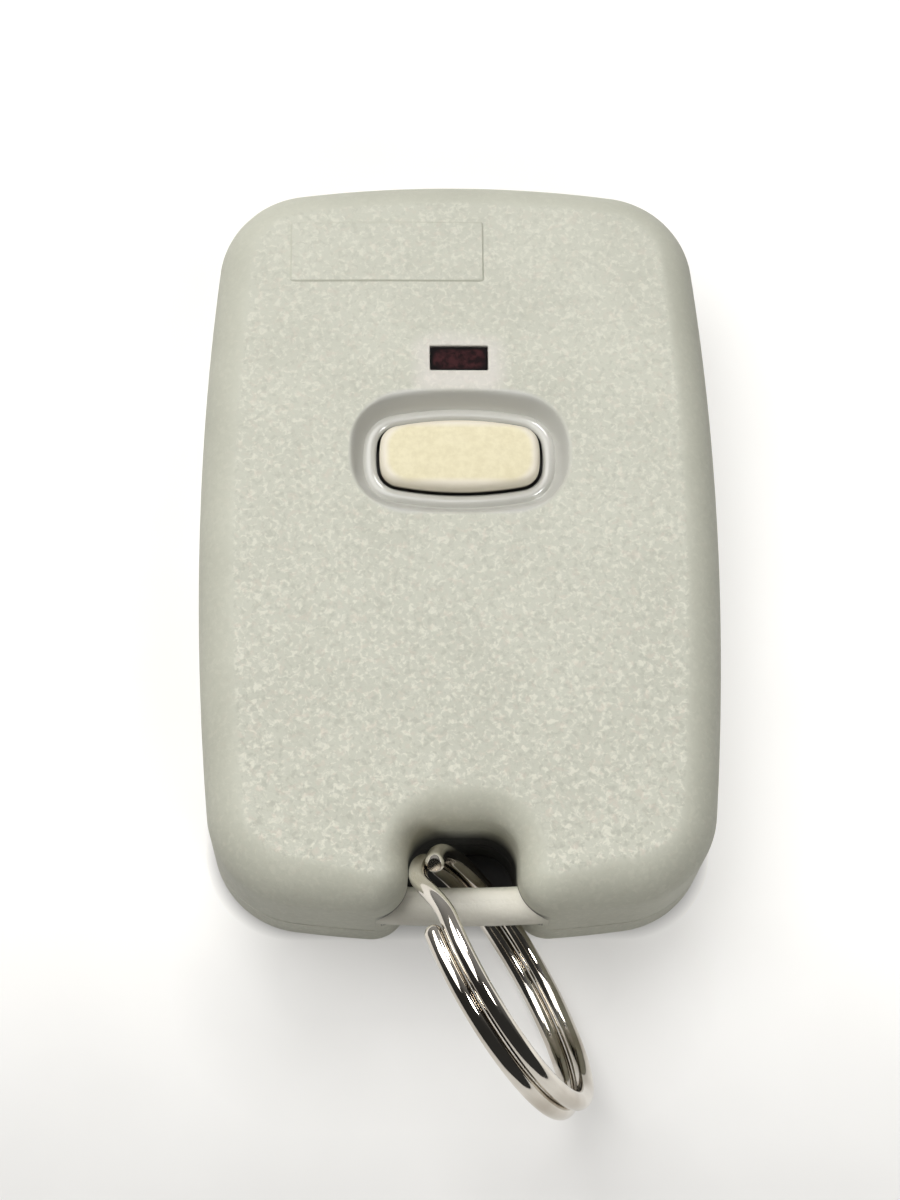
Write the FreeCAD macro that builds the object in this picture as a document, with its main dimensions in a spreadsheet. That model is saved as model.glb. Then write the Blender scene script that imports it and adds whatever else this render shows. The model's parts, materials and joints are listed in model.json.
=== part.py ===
import FreeCAD, Part
import math
import os
import re
import Sketcher
from FreeCAD import Placement, Rotation, Vector

# A one-button garage door remote for a key ring, lying on its back.
# The origin is the middle of the flat outer face of the rear cover. X runs to
# the right as the button is read, Y runs away from the key ring, and Z comes
# out of the face with the button. All sizes are in millimetres.

os.makedirs("parts", exist_ok=True)
doc = FreeCAD.newDocument("GarageRemote")

SIZES = {
    # Case outline: a rounded rectangle with bulging sides and a round rim.
    "case_width": 38.0,
    "case_length": 57.0,
    "case_height": 12.7,
    "side_bulge": 1.83,
    "end_bulge": 2.0,
    "corner_radius": 7.0,
    "edge_round": 2.4,
    "back_bevel": 0.7,
    "parting_height": 3.6,
    "wall": 1.6,
    "floor_thickness": 1.5,
    "lip_height": 1.2,
    "lip_gap": 0.1,
    # Key ring slot and the bar that bridges it.
    "slot_width": 7.8,
    "slot_depth": 6.5,
    "slot_corner": 2.6,
    "mouth_round": 2.7,
    "cover_mouth": 2.5,
    "lug_width": 14.3,
    "bar_depth": 2.6,
    "bar_top": 7.8,
    "bar_underside": 4.8,
    "bar_round": 1.1,
    "bar_gap": 0.15,
    "bar_inset": 0.05,
    # Button, its dished well and its raised collar.
    "button_width": 11.75,
    "button_height": 5.5,
    "button_side_bulge": 0.5,
    "button_end_bulge": 0.75,
    "button_corner": 1.5,
    "button_place": 5.2,
    "button_top": 12.45,
    "button_travel": 0.25,
    "stem_radius": 1.1,
    "button_edge": 0.6,
    "button_gap": 0.2,
    "button_wall": 1.0,
    "flange_width": 0.7,
    "flange_thickness": 0.6,
    "flange_gap": 0.1,
    "well_depth": 1.65,
    "well_slope": 0.95,
    "well_floor": 1.35,
    "collar_width": 0.95,
    "collar_rise": 0.35,
    "collar_foot": 0.15,
    "collar_bevel": 0.22,
    # Light window.
    "window_width": 4.3,
    "window_height": 2.0,
    "window_place": 12.7,
    "window_recess": 0.3,
    "window_gap": 0.08,
    "window_flange": 0.6,
    "lamp_gap": 0.9,
    # Circuit board.
    "board_side_room": 3.2,
    "board_end_room": 2.9,
    "board_cell_gap": 0.8,
    "board_corner": 5.5,
    "board_drop": 6.7,
    "board_thickness": 1.0,
    "board_gap": 0.3,
    "post_radius": 1.3,
    "post_side_room": 5.4,
    "post_end_room": 8.1,
    # Case screw and its boss.
    "screw_spacing": 9.0,
    "screw_radius": 0.95,
    "screw_head_radius": 1.9,
    "screw_head_height": 1.0,
    "screw_length": 8.0,
    "screw_sink": 0.3,
    "cross_reach": 1.15,
    "cross_half_width": 0.27,
    "cross_depth": 0.6,
    "screw_shank_gap": 0.15,
    "screw_head_gap": 0.2,
    "screw_tip_gap": 0.5,
    "boss_radius": 2.3,
    "boss_gap": 0.1,
    "seat_radius": 2.9,
    "seat_height": 1.1,
    "thread_gap": 0.03,
    # Battery compartment.
    "battery_radius": 4.0,
    "cell_end_room": 5.2,
    "battery_end_room": 12.5,
    "battery_lift": 0.25,
    "battery_gap": 0.06,
    "nub_radius": 1.9,
    "nub_length": 0.6,
    "cradle_place": 7.5,
    "cradle_thickness": 1.2,
    "cradle_height": 3.4,
    "contact_thickness": 0.4,
    "contact_width": 6.0,
    "contact_height": 5.0,
    "contact_foot": 2.4,
    "contact_gap": 0.15,
    "battery_edge": 0.3,
    "spring_reach": 1.5,
    # Push switch below the button.
    "switch_size": 5.2,
    "switch_height": 1.5,
    "switch_corner": 0.5,
    "plunger_radius": 1.3,
    "plunger_height": 0.6,
    "plunger_depth": 0.7,
    "plunger_gap": 0.05,
    # Code switch with ten slide levers.
    "code_pitch": 2.54,
    "code_margin": 2.2,
    "code_depth": 6.4,
    "code_height": 2.6,
    "code_place": 1.6,
    "lever_width": 1.2,
    "lever_length": 1.3,
    "lever_proud": 0.6,
    "lever_root": 0.8,
    "lever_travel": 1.2,
    "lever_gap": 0.05,
    "lead_width": 0.5,
    "lead_thickness": 0.25,
    "lead_reach": 1.0,
    "code_lead_rise": 1.2,
    "chip_lead_rise": 1.1,
    "chip_lift": 0.1,
    # Encoder chip.
    "chip_length": 11.6,
    "chip_depth": 7.5,
    "chip_height": 2.2,
    "chip_across": 6.5,
    "chip_place": 13.4,
    "chip_pitch": 1.27,
    "chip_lead_width": 0.42,
    # Tuning trimmer.
    "trimmer_size": 4.4,
    "trimmer_height": 1.6,
    "trimmer_across": 8.5,
    "trimmer_end_room": 8.5,
    "rotor_radius": 1.6,
    "rotor_height": 0.9,
    "rotor_slot": 0.5,
    # Loop antenna.
    "loop_wire": 0.8,
    "loop_side_room": 8.6,
    "loop_end_room": 5.1,
    "loop_length": 7.0,
    "loop_lift": 1.4,
    "loop_bend": 1.6,
    # Small chips, set out on a coarse grid.
    "grid": 2.0,
    "resistor_length": 2.0,
    "resistor_width": 1.2,
    "resistor_height": 0.5,
    "capacitor_length": 2.0,
    "capacitor_width": 1.3,
    "capacitor_height": 0.9,
    "transistor_length": 2.9,
    "transistor_width": 1.3,
    "transistor_height": 1.0,
    "light_length": 3.0,
    "light_width": 1.6,
    "light_height": 1.3,
    # Split key ring.
    "ring_radius": 9.6,
    "ring_wire_radial": 1.3,
    "ring_wire_axial": 0.9,
    "ring_coil_gap": 0.42,
    "ring_across": -1.28,
    "ring_inset": 4.08,
    "ring_rise": 0.64,
    "ring_yaw": 27.2,
    "ring_lean": 19.7,
    "ring_split": 18.0,
    "ring_turn": 58.0,
}

# Places and sizes that follow from the ones above.
DERIVED = {
    "slot_reach": "case_length / 2 - slot_depth",
    "battery_place": "case_length / 2 - battery_end_room",
    "battery_length": "case_width - 2 * cell_end_room",
    "screw_place": "battery_place - screw_spacing",
    "board_width": "case_width - 2 * board_side_room",
    "board_top_edge": "case_length / 2 - board_end_room",
    "board_low_edge": "battery_place - battery_radius - board_cell_gap",
    "board_bottom": "case_height - board_drop",
    "post_across": "case_width / 2 - post_side_room",
    "post_high": "case_length / 2 - post_end_room",
    "loop_across": "case_width / 2 - loop_side_room",
    "loop_top": "case_length / 2 - loop_end_room",
    "loop_low": "loop_top - loop_length",
    "trimmer_place": "case_length / 2 - trimmer_end_room",
    "ring_along": "case_length / 2 - ring_inset",
    "ring_up": "bar_top + ring_rise",
}
LEVER_COUNT = 10
CHIP_LEAD_COUNT = 9
LEVEL_TOLERANCE = 0.01

sheet = doc.addObject("Spreadsheet::Sheet", "Sizes")
rows = [(alias, str(number)) for alias, number in SIZES.items()]
rows += [(alias, "=" + formula) for alias, formula in DERIVED.items()]
for row, (alias, content) in enumerate(rows, start=1):
    sheet.set("A%d" % row, alias)
    sheet.set("B%d" % row, content)
    sheet.setAlias("B%d" % row, alias)
doc.recompute()

# Formulas over the sheet

def tied(formula):
    """Names the sheet in front of each size in a formula."""
    return re.sub(r"[a-z_]+", lambda found: prefixed(found.group()), formula)


def prefixed(word):
    return "Sizes." + word if word in SIZES or word in DERIVED else word


def value(formula):
    """Works the same formula out as a number."""
    return float(sheet.evalExpression(tied(formula)))


def bind(owner, prop, formula):
    owner.setExpression(prop, tied(formula))


HALF_WIDTH = "case_width / 2"
HALF_LENGTH = "case_length / 2"
SIDE_ARC = "((case_length / 2)^2 + side_bulge^2) / (2 * side_bulge)"
END_ARC = "((case_width / 2)^2 + end_bulge^2) / (2 * end_bulge)"
BATTERY_LEVEL = "floor_thickness + battery_lift + battery_radius"


# Sketches

def new_body(name):
    body = doc.addObject("PartDesign::Body", name)
    body.Label = name
    body.AllowCompound = True
    return body


def new_sketch(body, name, plane="XY_Plane", height="0"):
    sketch = body.newObject("Sketcher::SketchObject", name)
    origin = [item for item in body.Origin.OriginFeatures if item.Role == plane]
    sketch.AttachmentSupport = [(origin[0], "")]
    sketch.MapMode = "FlatFace"
    bind(sketch, ".AttachmentOffset.Base.z", height)
    return sketch


def limit(sketch, kind, where, formula):
    """Adds one dimension to a sketch and ties it to a formula."""
    index = sketch.addConstraint(Sketcher.Constraint(kind, *where, value(formula)))
    bind(sketch, "Constraints[%d]" % index, formula)


def pin_point(sketch, geometry, vertex, across, along):
    limit(sketch, "DistanceX", (-1, 1, geometry, vertex), across)
    limit(sketch, "DistanceY", (-1, 1, geometry, vertex), along)


def polygon(sketch, corners):
    """Draws a closed outline of straight sides through corners given as formulas."""
    points = [Vector(value(across), value(along), 0) for across, along in corners]
    count = len(points)
    first = sketch.GeometryCount
    for index in range(count):
        sketch.addGeometry(Part.LineSegment(points[index], points[(index + 1) % count]))
    for index in range(count):
        following = first + (index + 1) % count
        sketch.addConstraint(Sketcher.Constraint("Coincident", first + index, 2, following, 1))
        pin_point(sketch, first + index, 1, *corners[index])


def rectangle(sketch, left, right, low, high):
    polygon(sketch, [(left, low), (right, low), (right, high), (left, high)])


def centred(sketch, width, height, across="0", along="0"):
    """Draws a rectangle about its middle."""
    rectangle(sketch, "%s - (%s) / 2" % (across, width), "%s + (%s) / 2" % (across, width),
              "%s - (%s) / 2" % (along, height), "%s + (%s) / 2" % (along, height))


def circle(sketch, radius, across="0", along="0"):
    middle = Vector(value(across), value(along), 0)
    index = sketch.addGeometry(Part.Circle(middle, Vector(0, 0, 1), value(radius)))
    pin_point(sketch, index, 3, across, along)
    limit(sketch, "Radius", (index,), radius)


def arc(middle, radius, start, end):
    return Part.ArcOfCircle(Part.Circle(middle, Vector(0, 0, 1), radius), start, end)


def chain(sketch, first, count):
    """Joins curves end to start, each tangent to the next, into a closed loop."""
    for index in range(count):
        following = first + (index + 1) % count
        sketch.addConstraint(Sketcher.Constraint("Tangent", first + index, 2, following, 1))


def barrel(sketch, half_width, half_length, side_arc, end_arc, corner, inset="0", along="0"):
    """Draws a rounded rectangle with bulging sides, moved inwards by an inset."""
    half_width = "(%s) - (%s)" % (half_width, inset)
    half_length = "(%s) - (%s)" % (half_length, inset)
    side_arc = "(%s) - (%s)" % (side_arc, inset)
    end_arc = "(%s) - (%s)" % (end_arc, inset)
    corner = "(%s) - (%s)" % (corner, inset)
    width, length = value(half_width), value(half_length)
    side, end, radius, shift = value(side_arc), value(end_arc), value(corner), value(along)
    side_middle = width - side
    end_middle = length - end
    reach = math.hypot(side_middle, end_middle)
    turn = math.acos(((side - radius) ** 2 + reach ** 2 - (end - radius) ** 2)
                     / (2 * (side - radius) * reach))
    low = math.atan2(end_middle, -side_middle) + turn
    corner_x = side_middle + (side - radius) * math.cos(low)
    corner_y = (side - radius) * math.sin(low)
    high = math.atan2(corner_y - end_middle, corner_x)
    half_turn = math.pi
    first = sketch.GeometryCount
    spans = [
        (side_middle, 0, side, -low, low),
        (corner_x, corner_y, radius, low, high),
        (0, end_middle, end, high, half_turn - high),
        (-corner_x, corner_y, radius, half_turn - high, half_turn - low),
        (-side_middle, 0, side, half_turn - low, half_turn + low),
        (-corner_x, -corner_y, radius, half_turn + low, half_turn + high),
        (0, -end_middle, end, half_turn + high, 2 * half_turn - high),
        (corner_x, -corner_y, radius, 2 * half_turn - high, 2 * half_turn - low),
    ]
    for across, up, size, start, stop in spans:
        sketch.addGeometry(arc(Vector(across, up + shift, 0), size, start, stop))
    chain(sketch, first, len(spans))
    pin_point(sketch, first, 3, "(%s) - (%s)" % (half_width, side_arc), along)
    pin_point(sketch, first + 2, 3, "0", "%s + (%s) - (%s)" % (along, half_length, end_arc))
    pin_point(sketch, first + 4, 3, "(%s) - (%s)" % (side_arc, half_width), along)
    pin_point(sketch, first + 6, 3, "0", "%s + (%s) - (%s)" % (along, end_arc, half_length))
    for index, size in enumerate([side_arc, corner, end_arc, corner] * 2):
        limit(sketch, "Radius", (first + index,), size)


def case_outline(sketch, inset="0"):
    barrel(sketch, HALF_WIDTH, HALF_LENGTH, SIDE_ARC, END_ARC, "corner_radius", inset)


def rounded(sketch, left, right, low, high, corner):
    """Draws a rectangle with round corners from four formulas for its sides."""
    x_low, x_high, y_low, y_high = value(left), value(right), value(low), value(high)
    radius = value(corner)
    first = sketch.GeometryCount
    quarter = math.pi / 2
    lines = [
        ((x_low + radius, y_low), (x_high - radius, y_low)),
        ((x_high, y_low + radius), (x_high, y_high - radius)),
        ((x_high - radius, y_high), (x_low + radius, y_high)),
        ((x_low, y_high - radius), (x_low, y_low + radius)),
    ]
    middles = [
        (x_high - radius, y_low + radius),
        (x_high - radius, y_high - radius),
        (x_low + radius, y_high - radius),
        (x_low + radius, y_low + radius),
    ]
    for index in range(4):
        start, stop = lines[index]
        sketch.addGeometry(Part.LineSegment(Vector(*start, 0), Vector(*stop, 0)))
        turn = (index - 1) * quarter
        sketch.addGeometry(arc(Vector(*middles[index], 0), radius, turn, turn + quarter))
    chain(sketch, first, 8)
    for index, kind in enumerate(["Horizontal", "Vertical", "Horizontal", "Vertical"]):
        sketch.addConstraint(Sketcher.Constraint(kind, first + 2 * index))
        limit(sketch, "Radius", (first + 2 * index + 1,), corner)
    limit(sketch, "DistanceY", (-1, 1, first, 1), low)
    limit(sketch, "DistanceX", (-1, 1, first + 2, 1), right)
    limit(sketch, "DistanceY", (-1, 1, first + 4, 1), high)
    limit(sketch, "DistanceX", (-1, 1, first + 6, 1), left)


# Features

def pad(body, sketch, length):
    feature = body.newObject("PartDesign::Pad", sketch.Name + "_pad")
    feature.Profile = sketch
    bind(feature, "Length", length)
    return feature


def pocket(body, sketch, length, up=False, taper="0"):
    """Cuts a sketch into a body, and stops the build if nothing was cut."""
    doc.recompute()
    before = body.Shape.Volume
    feature = body.newObject("PartDesign::Pocket", sketch.Name + "_cut")
    feature.Profile = sketch
    bind(feature, "Length", length)
    bind(feature, "TaperAngle", taper)
    feature.Reversed = up
    doc.recompute()
    if not body.Shape.Volume < before - 1e-4:
        raise RuntimeError("nothing was cut by " + feature.Name)
    return feature


def carve(body, tool, name):
    """Takes another body's shape out of a body."""
    feature = body.newObject("PartDesign::Boolean", name)
    feature.Type = "Cut"
    feature.setObjects([tool])
    return feature


def join(body, tool, name):
    """Adds another body's shape to a body."""
    feature = body.newObject("PartDesign::Boolean", name)
    feature.Type = "Fuse"
    feature.setObjects([tool])
    return feature


def bevel(body, base, names, size, name):
    feature = body.newObject("PartDesign::Chamfer", name)
    feature.Base = (base, names)
    bind(feature, "Size", size)
    return feature


def round_in_bevels(body, block, face, level, radius, name):
    """Rounds the rim of a flat face with three narrow bevels that touch the round."""
    wide = "(%s) * (2 - sqrt(2))" % radius
    narrow = "(%s) * (tan(22.5) - tan(11.25))" % radius
    first = bevel(body, block, [face], wide, name + "_wide")
    doc.recompute()
    levels = (value(level), value("%s - %s" % (level, wide)))
    names = [name for height in levels for name in edges_where(first, level_at(height))]
    bevel(body, first, names, narrow, name + "_narrow")
    doc.recompute()


def level_at(height):
    """Makes a test for the edges that lie flat at a height."""
    return lambda edge: max(abs(edge.BoundBox.ZMax - height),
                            abs(edge.BoundBox.ZMin - height)) < LEVEL_TOLERANCE


def edges_where(feature, test):
    """Names the edges of a feature that pass a test."""
    return ["Edge%d" % (index + 1) for index, edge in enumerate(feature.Shape.Edges) if test(edge)]


def end_face(feature, highest):
    """Names the highest or the lowest face of a block."""
    faces = feature.Shape.Faces
    pick = max if highest else min
    found = pick(range(len(faces)), key=lambda index: faces[index].CenterOfMass.z)
    return "Face%d" % (found + 1)


def slot_outline(sketch, inset, mouth):
    """Draws the key ring slot, whose mouth rounds out until it meets the end of the case."""
    side = "slot_width / 2 + (%s)" % inset
    turn = "%s - (%s)" % (mouth, inset)
    corner = "slot_corner + (%s)" % inset
    top = "(%s) - slot_reach" % inset
    low = "-case_length / 2 - slot_width"
    hub = "%s - case_length / 2" % END_ARC
    ring = "%s - (%s)" % (END_ARC, inset)
    level = "%s - sqrt((%s - (%s))^2 - (%s + %s)^2)" % (hub, ring, turn, side, turn)
    share = "(%s) / (%s - (%s))" % (ring, ring, turn)
    edge = "(%s + %s) * %s" % (side, turn, share)
    edge_level = "%s + (%s - (%s)) * %s" % (hub, level, hub, share)
    x, y, radius, bend = value(side), value(level), value(turn), value(corner)
    x_edge, y_edge, y_top, y_low = value(edge), value(edge_level), value(top), value(low)
    swing = math.atan2(y_edge - y, x_edge - x - radius)
    quarter = math.pi / 2
    first = sketch.GeometryCount
    curves = [
        Part.LineSegment(Vector(x_edge, y_low, 0), Vector(x_edge, y_edge, 0)),
        arc(Vector(x + radius, y, 0), radius, -2 * quarter, swing),
        Part.LineSegment(Vector(x, y, 0), Vector(x, y_top - bend, 0)),
        arc(Vector(x - bend, y_top - bend, 0), bend, 0, quarter),
        Part.LineSegment(Vector(x - bend, y_top, 0), Vector(bend - x, y_top, 0)),
        arc(Vector(bend - x, y_top - bend, 0), bend, quarter, 2 * quarter),
        Part.LineSegment(Vector(-x, y_top - bend, 0), Vector(-x, y, 0)),
        arc(Vector(-x - radius, y, 0), radius, -2 * quarter - swing, 0),
        Part.LineSegment(Vector(-x_edge, y_edge, 0), Vector(-x_edge, y_low, 0)),
        Part.LineSegment(Vector(-x_edge, y_low, 0), Vector(x_edge, y_low, 0)),
    ]
    for curve in curves:
        sketch.addGeometry(curve)
    joints = [(1, 1, 2, 1), (2, 2, 3, 1), (3, 2, 4, 1), (4, 2, 5, 1), (5, 2, 6, 1), (6, 2, 7, 2)]
    for one, end, two, start in joints:
        sketch.addConstraint(Sketcher.Constraint("Tangent", first + one, end, first + two, start))
    for one, end, two, start in [(0, 2, 1, 2), (7, 1, 8, 1), (8, 2, 9, 1), (9, 2, 0, 1)]:
        sketch.addConstraint(Sketcher.Constraint("Coincident", first + one, end, first + two, start))
    for index, sign in ((1, ""), (7, "-")):
        pin_point(sketch, first + index, 3, "%s(%s + %s)" % (sign, side, turn), level)
        limit(sketch, "Radius", (first + index,), turn)
    for index, sign in ((3, ""), (5, "-")):
        pin_point(sketch, first + index, 3, "%s(%s - (%s))" % (sign, side, corner),
                  "%s - (%s)" % (top, corner))
        limit(sketch, "Radius", (first + index,), corner)
    pin_point(sketch, first, 1, edge, low)
    limit(sketch, "DistanceX", (-1, 1, first, 2), edge)
    pin_point(sketch, first + 8, 2, "-(%s)" % edge, low)
    limit(sketch, "DistanceX", (-1, 1, first + 8, 1), "-(%s)" % edge)


def outline_block(name, inset, base, top, mouth):
    """Makes a block with the case outline and the key ring slot, at an inset."""
    body = new_body(name)
    outline = new_sketch(body, name + "_outline", height=base)
    case_outline(outline, inset)
    pad(body, outline, "%s - (%s)" % (top, base))
    slot = new_sketch(body, name + "_slot", height="%s - 1" % base)
    slot_outline(slot, inset, mouth)
    pocket(body, slot, "%s - (%s) + 2" % (top, base), up=True)
    return body


def boss(body, name, radius, across, along, base, top):
    """Adds an upright cylinder."""
    sketch = new_sketch(body, name, height=base)
    circle(sketch, radius, across, along)
    return pad(body, sketch, "%s - (%s)" % (top, base))


def bore(body, name, radius, across, along, base, top):
    """Drills an upright hole between two heights."""
    sketch = new_sketch(body, name, height=base)
    circle(sketch, radius, across, along)
    return pocket(body, sketch, "%s - (%s)" % (top, base), up=True)


def button_outline(sketch, grow="0"):
    side = "((button_height / 2)^2 + button_side_bulge^2) / (2 * button_side_bulge)"
    end = "((button_width / 2)^2 + button_end_bulge^2) / (2 * button_end_bulge)"
    barrel(sketch, "button_width / 2", "button_height / 2", side, end, "button_corner",
           "-(%s)" % grow, "button_place")


POSTS = [("-post_across", "post_high"), ("post_across", "post_high"),
         ("-post_across", "-screw_place"), ("post_across", "-screw_place")]
WELL_FLOOR = "case_height - well_depth"
WELL_BASE = "case_height - well_depth - well_floor"
WELL_GROW = "button_gap + collar_width + well_slope"
BOARD_TOP = "board_bottom + board_thickness"
SEAT_TOP = "floor_thickness + seat_height"
FLANGE_TOP = "case_height - well_depth - well_floor - flange_gap"
PLUNGER_TOP = "board_bottom + board_thickness + switch_height + plunger_height"
LENS_TAIL = "board_bottom + board_thickness + light_height + lamp_gap"
CELL_END = "(battery_length + nub_length) / 2"
CONTACT_BASE = "floor_thickness + battery_lift + battery_radius - contact_height / 2"


# The pieces

def front_case():
    """A deep shell with a round rim, the button well, the window and its bosses."""
    body = outline_block("front_case", "0", "parting_height", "case_height", "mouth_round")
    block = body.Tip
    round_in_bevels(body, block, end_face(block, True), "case_height", "edge_round", "front_rim")
    core = outline_block("front_core", "wall", "parting_height - 1", "case_height - wall",
                         "mouth_round")
    step = outline_block("front_step", "wall / 2", "parting_height - 1",
                         "parting_height + lip_height", "mouth_round")
    carve(body, core, "front_hollow")
    carve(body, step, "front_rebate")
    relief = new_sketch(body, "lug_relief", height="parting_height - 1")
    rectangle(relief, "-lug_width / 2 - bar_gap", "lug_width / 2 + bar_gap",
              "-case_length / 2 - 1", "-case_length / 2 + bar_depth + bar_gap")
    pocket(body, relief, "bar_top + bar_gap - parting_height + 1", up=True)
    well = new_sketch(body, "well_wall", height=WELL_BASE)
    button_outline(well, WELL_GROW + " + button_wall")
    pad(body, well, "well_depth + well_floor - wall / 2")
    dish = new_sketch(body, "well_dish", height=WELL_FLOOR)
    button_outline(dish, "button_gap + collar_width")
    pocket(body, dish, "well_depth + 0.5", up=True, taper="atan(well_slope / well_depth)")
    collar = new_sketch(body, "well_collar", height=WELL_FLOOR)
    button_outline(collar, "button_gap + collar_width - collar_foot")
    pad(body, collar, "collar_rise")
    hole = new_sketch(body, "button_hole", height=WELL_BASE + " - 1")
    button_outline(hole, "button_gap")
    cut = pocket(body, hole, "well_floor + collar_rise + 2", up=True)
    rim = edges_where(cut, level_at(value(WELL_FLOOR + " + collar_rise")))
    bevel(body, cut, rim, "collar_bevel", "collar_edge")
    window = new_sketch(body, "window_hole", height="case_height - 2 * wall - 1")
    centred(window, "window_width", "window_height", along="window_place")
    pocket(body, window, "2 * wall + 2", up=True)
    boss(body, "screw_boss", "boss_radius", "0", "-screw_place",
         SEAT_TOP + " + boss_gap", "case_height - wall / 2")
    bore(body, "screw_pilot", "screw_radius + thread_gap", "0", "-screw_place",
         SEAT_TOP, "screw_sink + screw_length + screw_tip_gap")
    for index, (across, along) in enumerate(POSTS, start=1):
        boss(body, "front_post_%d" % index, "post_radius", across, along,
             BOARD_TOP, "case_height - wall")
    return body


def rear_cover():
    """A shallow tray that carries the key ring bar, the battery and the circuit board."""
    body = outline_block("rear_cover", "0", "0", "parting_height", "cover_mouth")
    block = body.Tip
    bevel(body, block, [end_face(block, False)], "back_bevel", "back_edge")
    lip = outline_block("cover_lip", "wall / 2 + lip_gap", "parting_height - lip_height / 2",
                        "parting_height + lip_height - lip_gap", "mouth_round")
    join(body, lip, "lip_joined")
    tray = outline_block("cover_core", "wall", "floor_thickness",
                         "parting_height + lip_height + 1", "cover_mouth")
    carve(body, tray, "cover_hollow")
    ring_lug(body)
    boss(body, "screw_seat", "seat_radius", "0", "-screw_place", "floor_thickness / 2", SEAT_TOP)
    for index, (across, along) in enumerate(POSTS, start=1):
        boss(body, "cover_post_%d" % index, "post_radius", across, along,
             "floor_thickness / 2", "board_bottom")
    for side in (-1, 1):
        rib = new_sketch(body, "cradle_%s" % ("left" if side < 0 else "right"),
                         height="floor_thickness / 2")
        centred(rib, "cradle_thickness", "2 * battery_radius + 1",
                "%d * cradle_place" % side, "-battery_place")
        pad(body, rib, "cradle_height + floor_thickness / 2")
    trough = new_sketch(body, "battery_trough", "YZ_Plane", "-cradle_place - cradle_thickness")
    circle(trough, "battery_radius + battery_gap", "-battery_place", BATTERY_LEVEL)
    pocket(body, trough, "2 * (cradle_place + cradle_thickness)", up=True)
    bore(body, "screw_clear", "screw_radius + screw_shank_gap", "0", "-screw_place",
         "-1", SEAT_TOP + " + 1")
    bore(body, "screw_well", "screw_head_radius + screw_head_gap", "0", "-screw_place",
         "-1", "screw_sink + screw_head_height")
    return body


def ring_lug(body):
    """Adds two legs beside the slot's mouth, and the round-edged bar that joins them."""
    legs = new_sketch(body, "lug_legs", height="parting_height / 2")
    half, inner = "lug_width / 2", "-case_length / 2 + bar_depth"
    hub = "%s - case_length / 2" % END_ARC
    ring = "%s - bar_inset" % END_ARC
    reach = math.asin(value(half) / value(ring))
    low = value(hub) - value(ring) * math.cos(reach)
    side, back = value(half), value(inner)
    turn = -math.pi / 2
    legs.addGeometry(arc(Vector(0, value(hub), 0), value(ring), turn - reach, turn + reach))
    legs.addGeometry(Part.LineSegment(Vector(side, low, 0), Vector(side, back, 0)))
    legs.addGeometry(Part.LineSegment(Vector(side, back, 0), Vector(-side, back, 0)))
    legs.addGeometry(Part.LineSegment(Vector(-side, back, 0), Vector(-side, low, 0)))
    for index in range(4):
        legs.addConstraint(Sketcher.Constraint("Coincident", index, 2, (index + 1) % 4, 1))
    pin_point(legs, 0, 3, "0", hub)
    limit(legs, "Radius", (0,), ring)
    pin_point(legs, 2, 1, half, inner)
    pin_point(legs, 2, 2, "-" + half, inner)
    legs.addConstraint(Sketcher.Constraint("Vertical", 1))
    legs.addConstraint(Sketcher.Constraint("Vertical", 3))
    pad(body, legs, "bar_top - bar_round - parting_height / 2")
    passage = new_sketch(body, "lug_passage", height="-1")
    slot_outline(passage, "0", "cover_mouth")
    pocket(body, passage, "bar_top + 1", up=True)
    section = new_sketch(body, "bar_section", "YZ_Plane")
    rounded(section, "-case_length / 2 + bar_inset", inner, "bar_underside", "bar_top", "bar_round")
    axis = section.addGeometry(Part.LineSegment(Vector(value(hub), -1, 0),
                                                Vector(value(hub), 1, 0)), True)
    pin_point(section, axis, 1, hub, "-1")
    pin_point(section, axis, 2, hub, "1")
    bar = body.newObject("PartDesign::Revolution", "ring_bar")
    bar.Profile = section
    bar.ReferenceAxis = (section, ["Axis0"])
    bind(bar, "Angle", "2 * asin(lug_width / 2 / (%s))" % ring)
    bar.Midplane = True
    doc.recompute()


def button_cap():
    """A soft-edged cap with a retaining flange, hollow below, with a stem for the switch."""
    body = new_body("button_cap")
    cap = new_sketch(body, "cap_outline", height=FLANGE_TOP)
    button_outline(cap)
    block = pad(body, cap, "button_top - (%s)" % FLANGE_TOP)
    doc.recompute()
    round_in_bevels(body, block, end_face(block, True), "button_top", "button_edge", "cap_edge")
    flange = new_sketch(body, "cap_flange", height=FLANGE_TOP + " - flange_thickness")
    button_outline(flange, "flange_width")
    pad(body, flange, "flange_thickness")
    hollow = new_sketch(body, "cap_hollow", height=FLANGE_TOP + " - flange_thickness - 1")
    button_outline(hollow, "-button_wall")
    pocket(body, hollow, "button_top - button_wall - (%s) + flange_thickness + 1" % FLANGE_TOP,
           up=True)
    boss(body, "cap_stem", "stem_radius", "0", "button_place", PLUNGER_TOP,
         "button_top - button_wall / 2")
    return body


def light_window():
    """A dark lens with a flange behind the face and a tail towards the lamp."""
    body = new_body("light_window")
    lens = new_sketch(body, "lens", height=LENS_TAIL)
    centred(lens, "window_width - 2 * window_gap", "window_height - 2 * window_gap",
            along="window_place")
    pad(body, lens, "case_height - window_recess - (%s)" % LENS_TAIL)
    flange = new_sketch(body, "lens_flange", height="case_height - wall - window_flange")
    centred(flange, "window_width + 2 * window_flange", "window_height + 2 * window_flange",
            along="window_place")
    pad(body, flange, "window_flange - window_gap")
    return body


def circuit_board():
    body = new_body("circuit_board")
    outline = new_sketch(body, "board_outline", height="board_bottom")
    rounded(outline, "-board_width / 2", "board_width / 2", "-board_low_edge", "board_top_edge",
            "board_corner")
    pad(body, outline, "board_thickness")
    bore(body, "board_hole", "boss_radius + board_gap", "0", "-screw_place",
         "board_bottom - 1", BOARD_TOP + " + 1")
    return body


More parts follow.
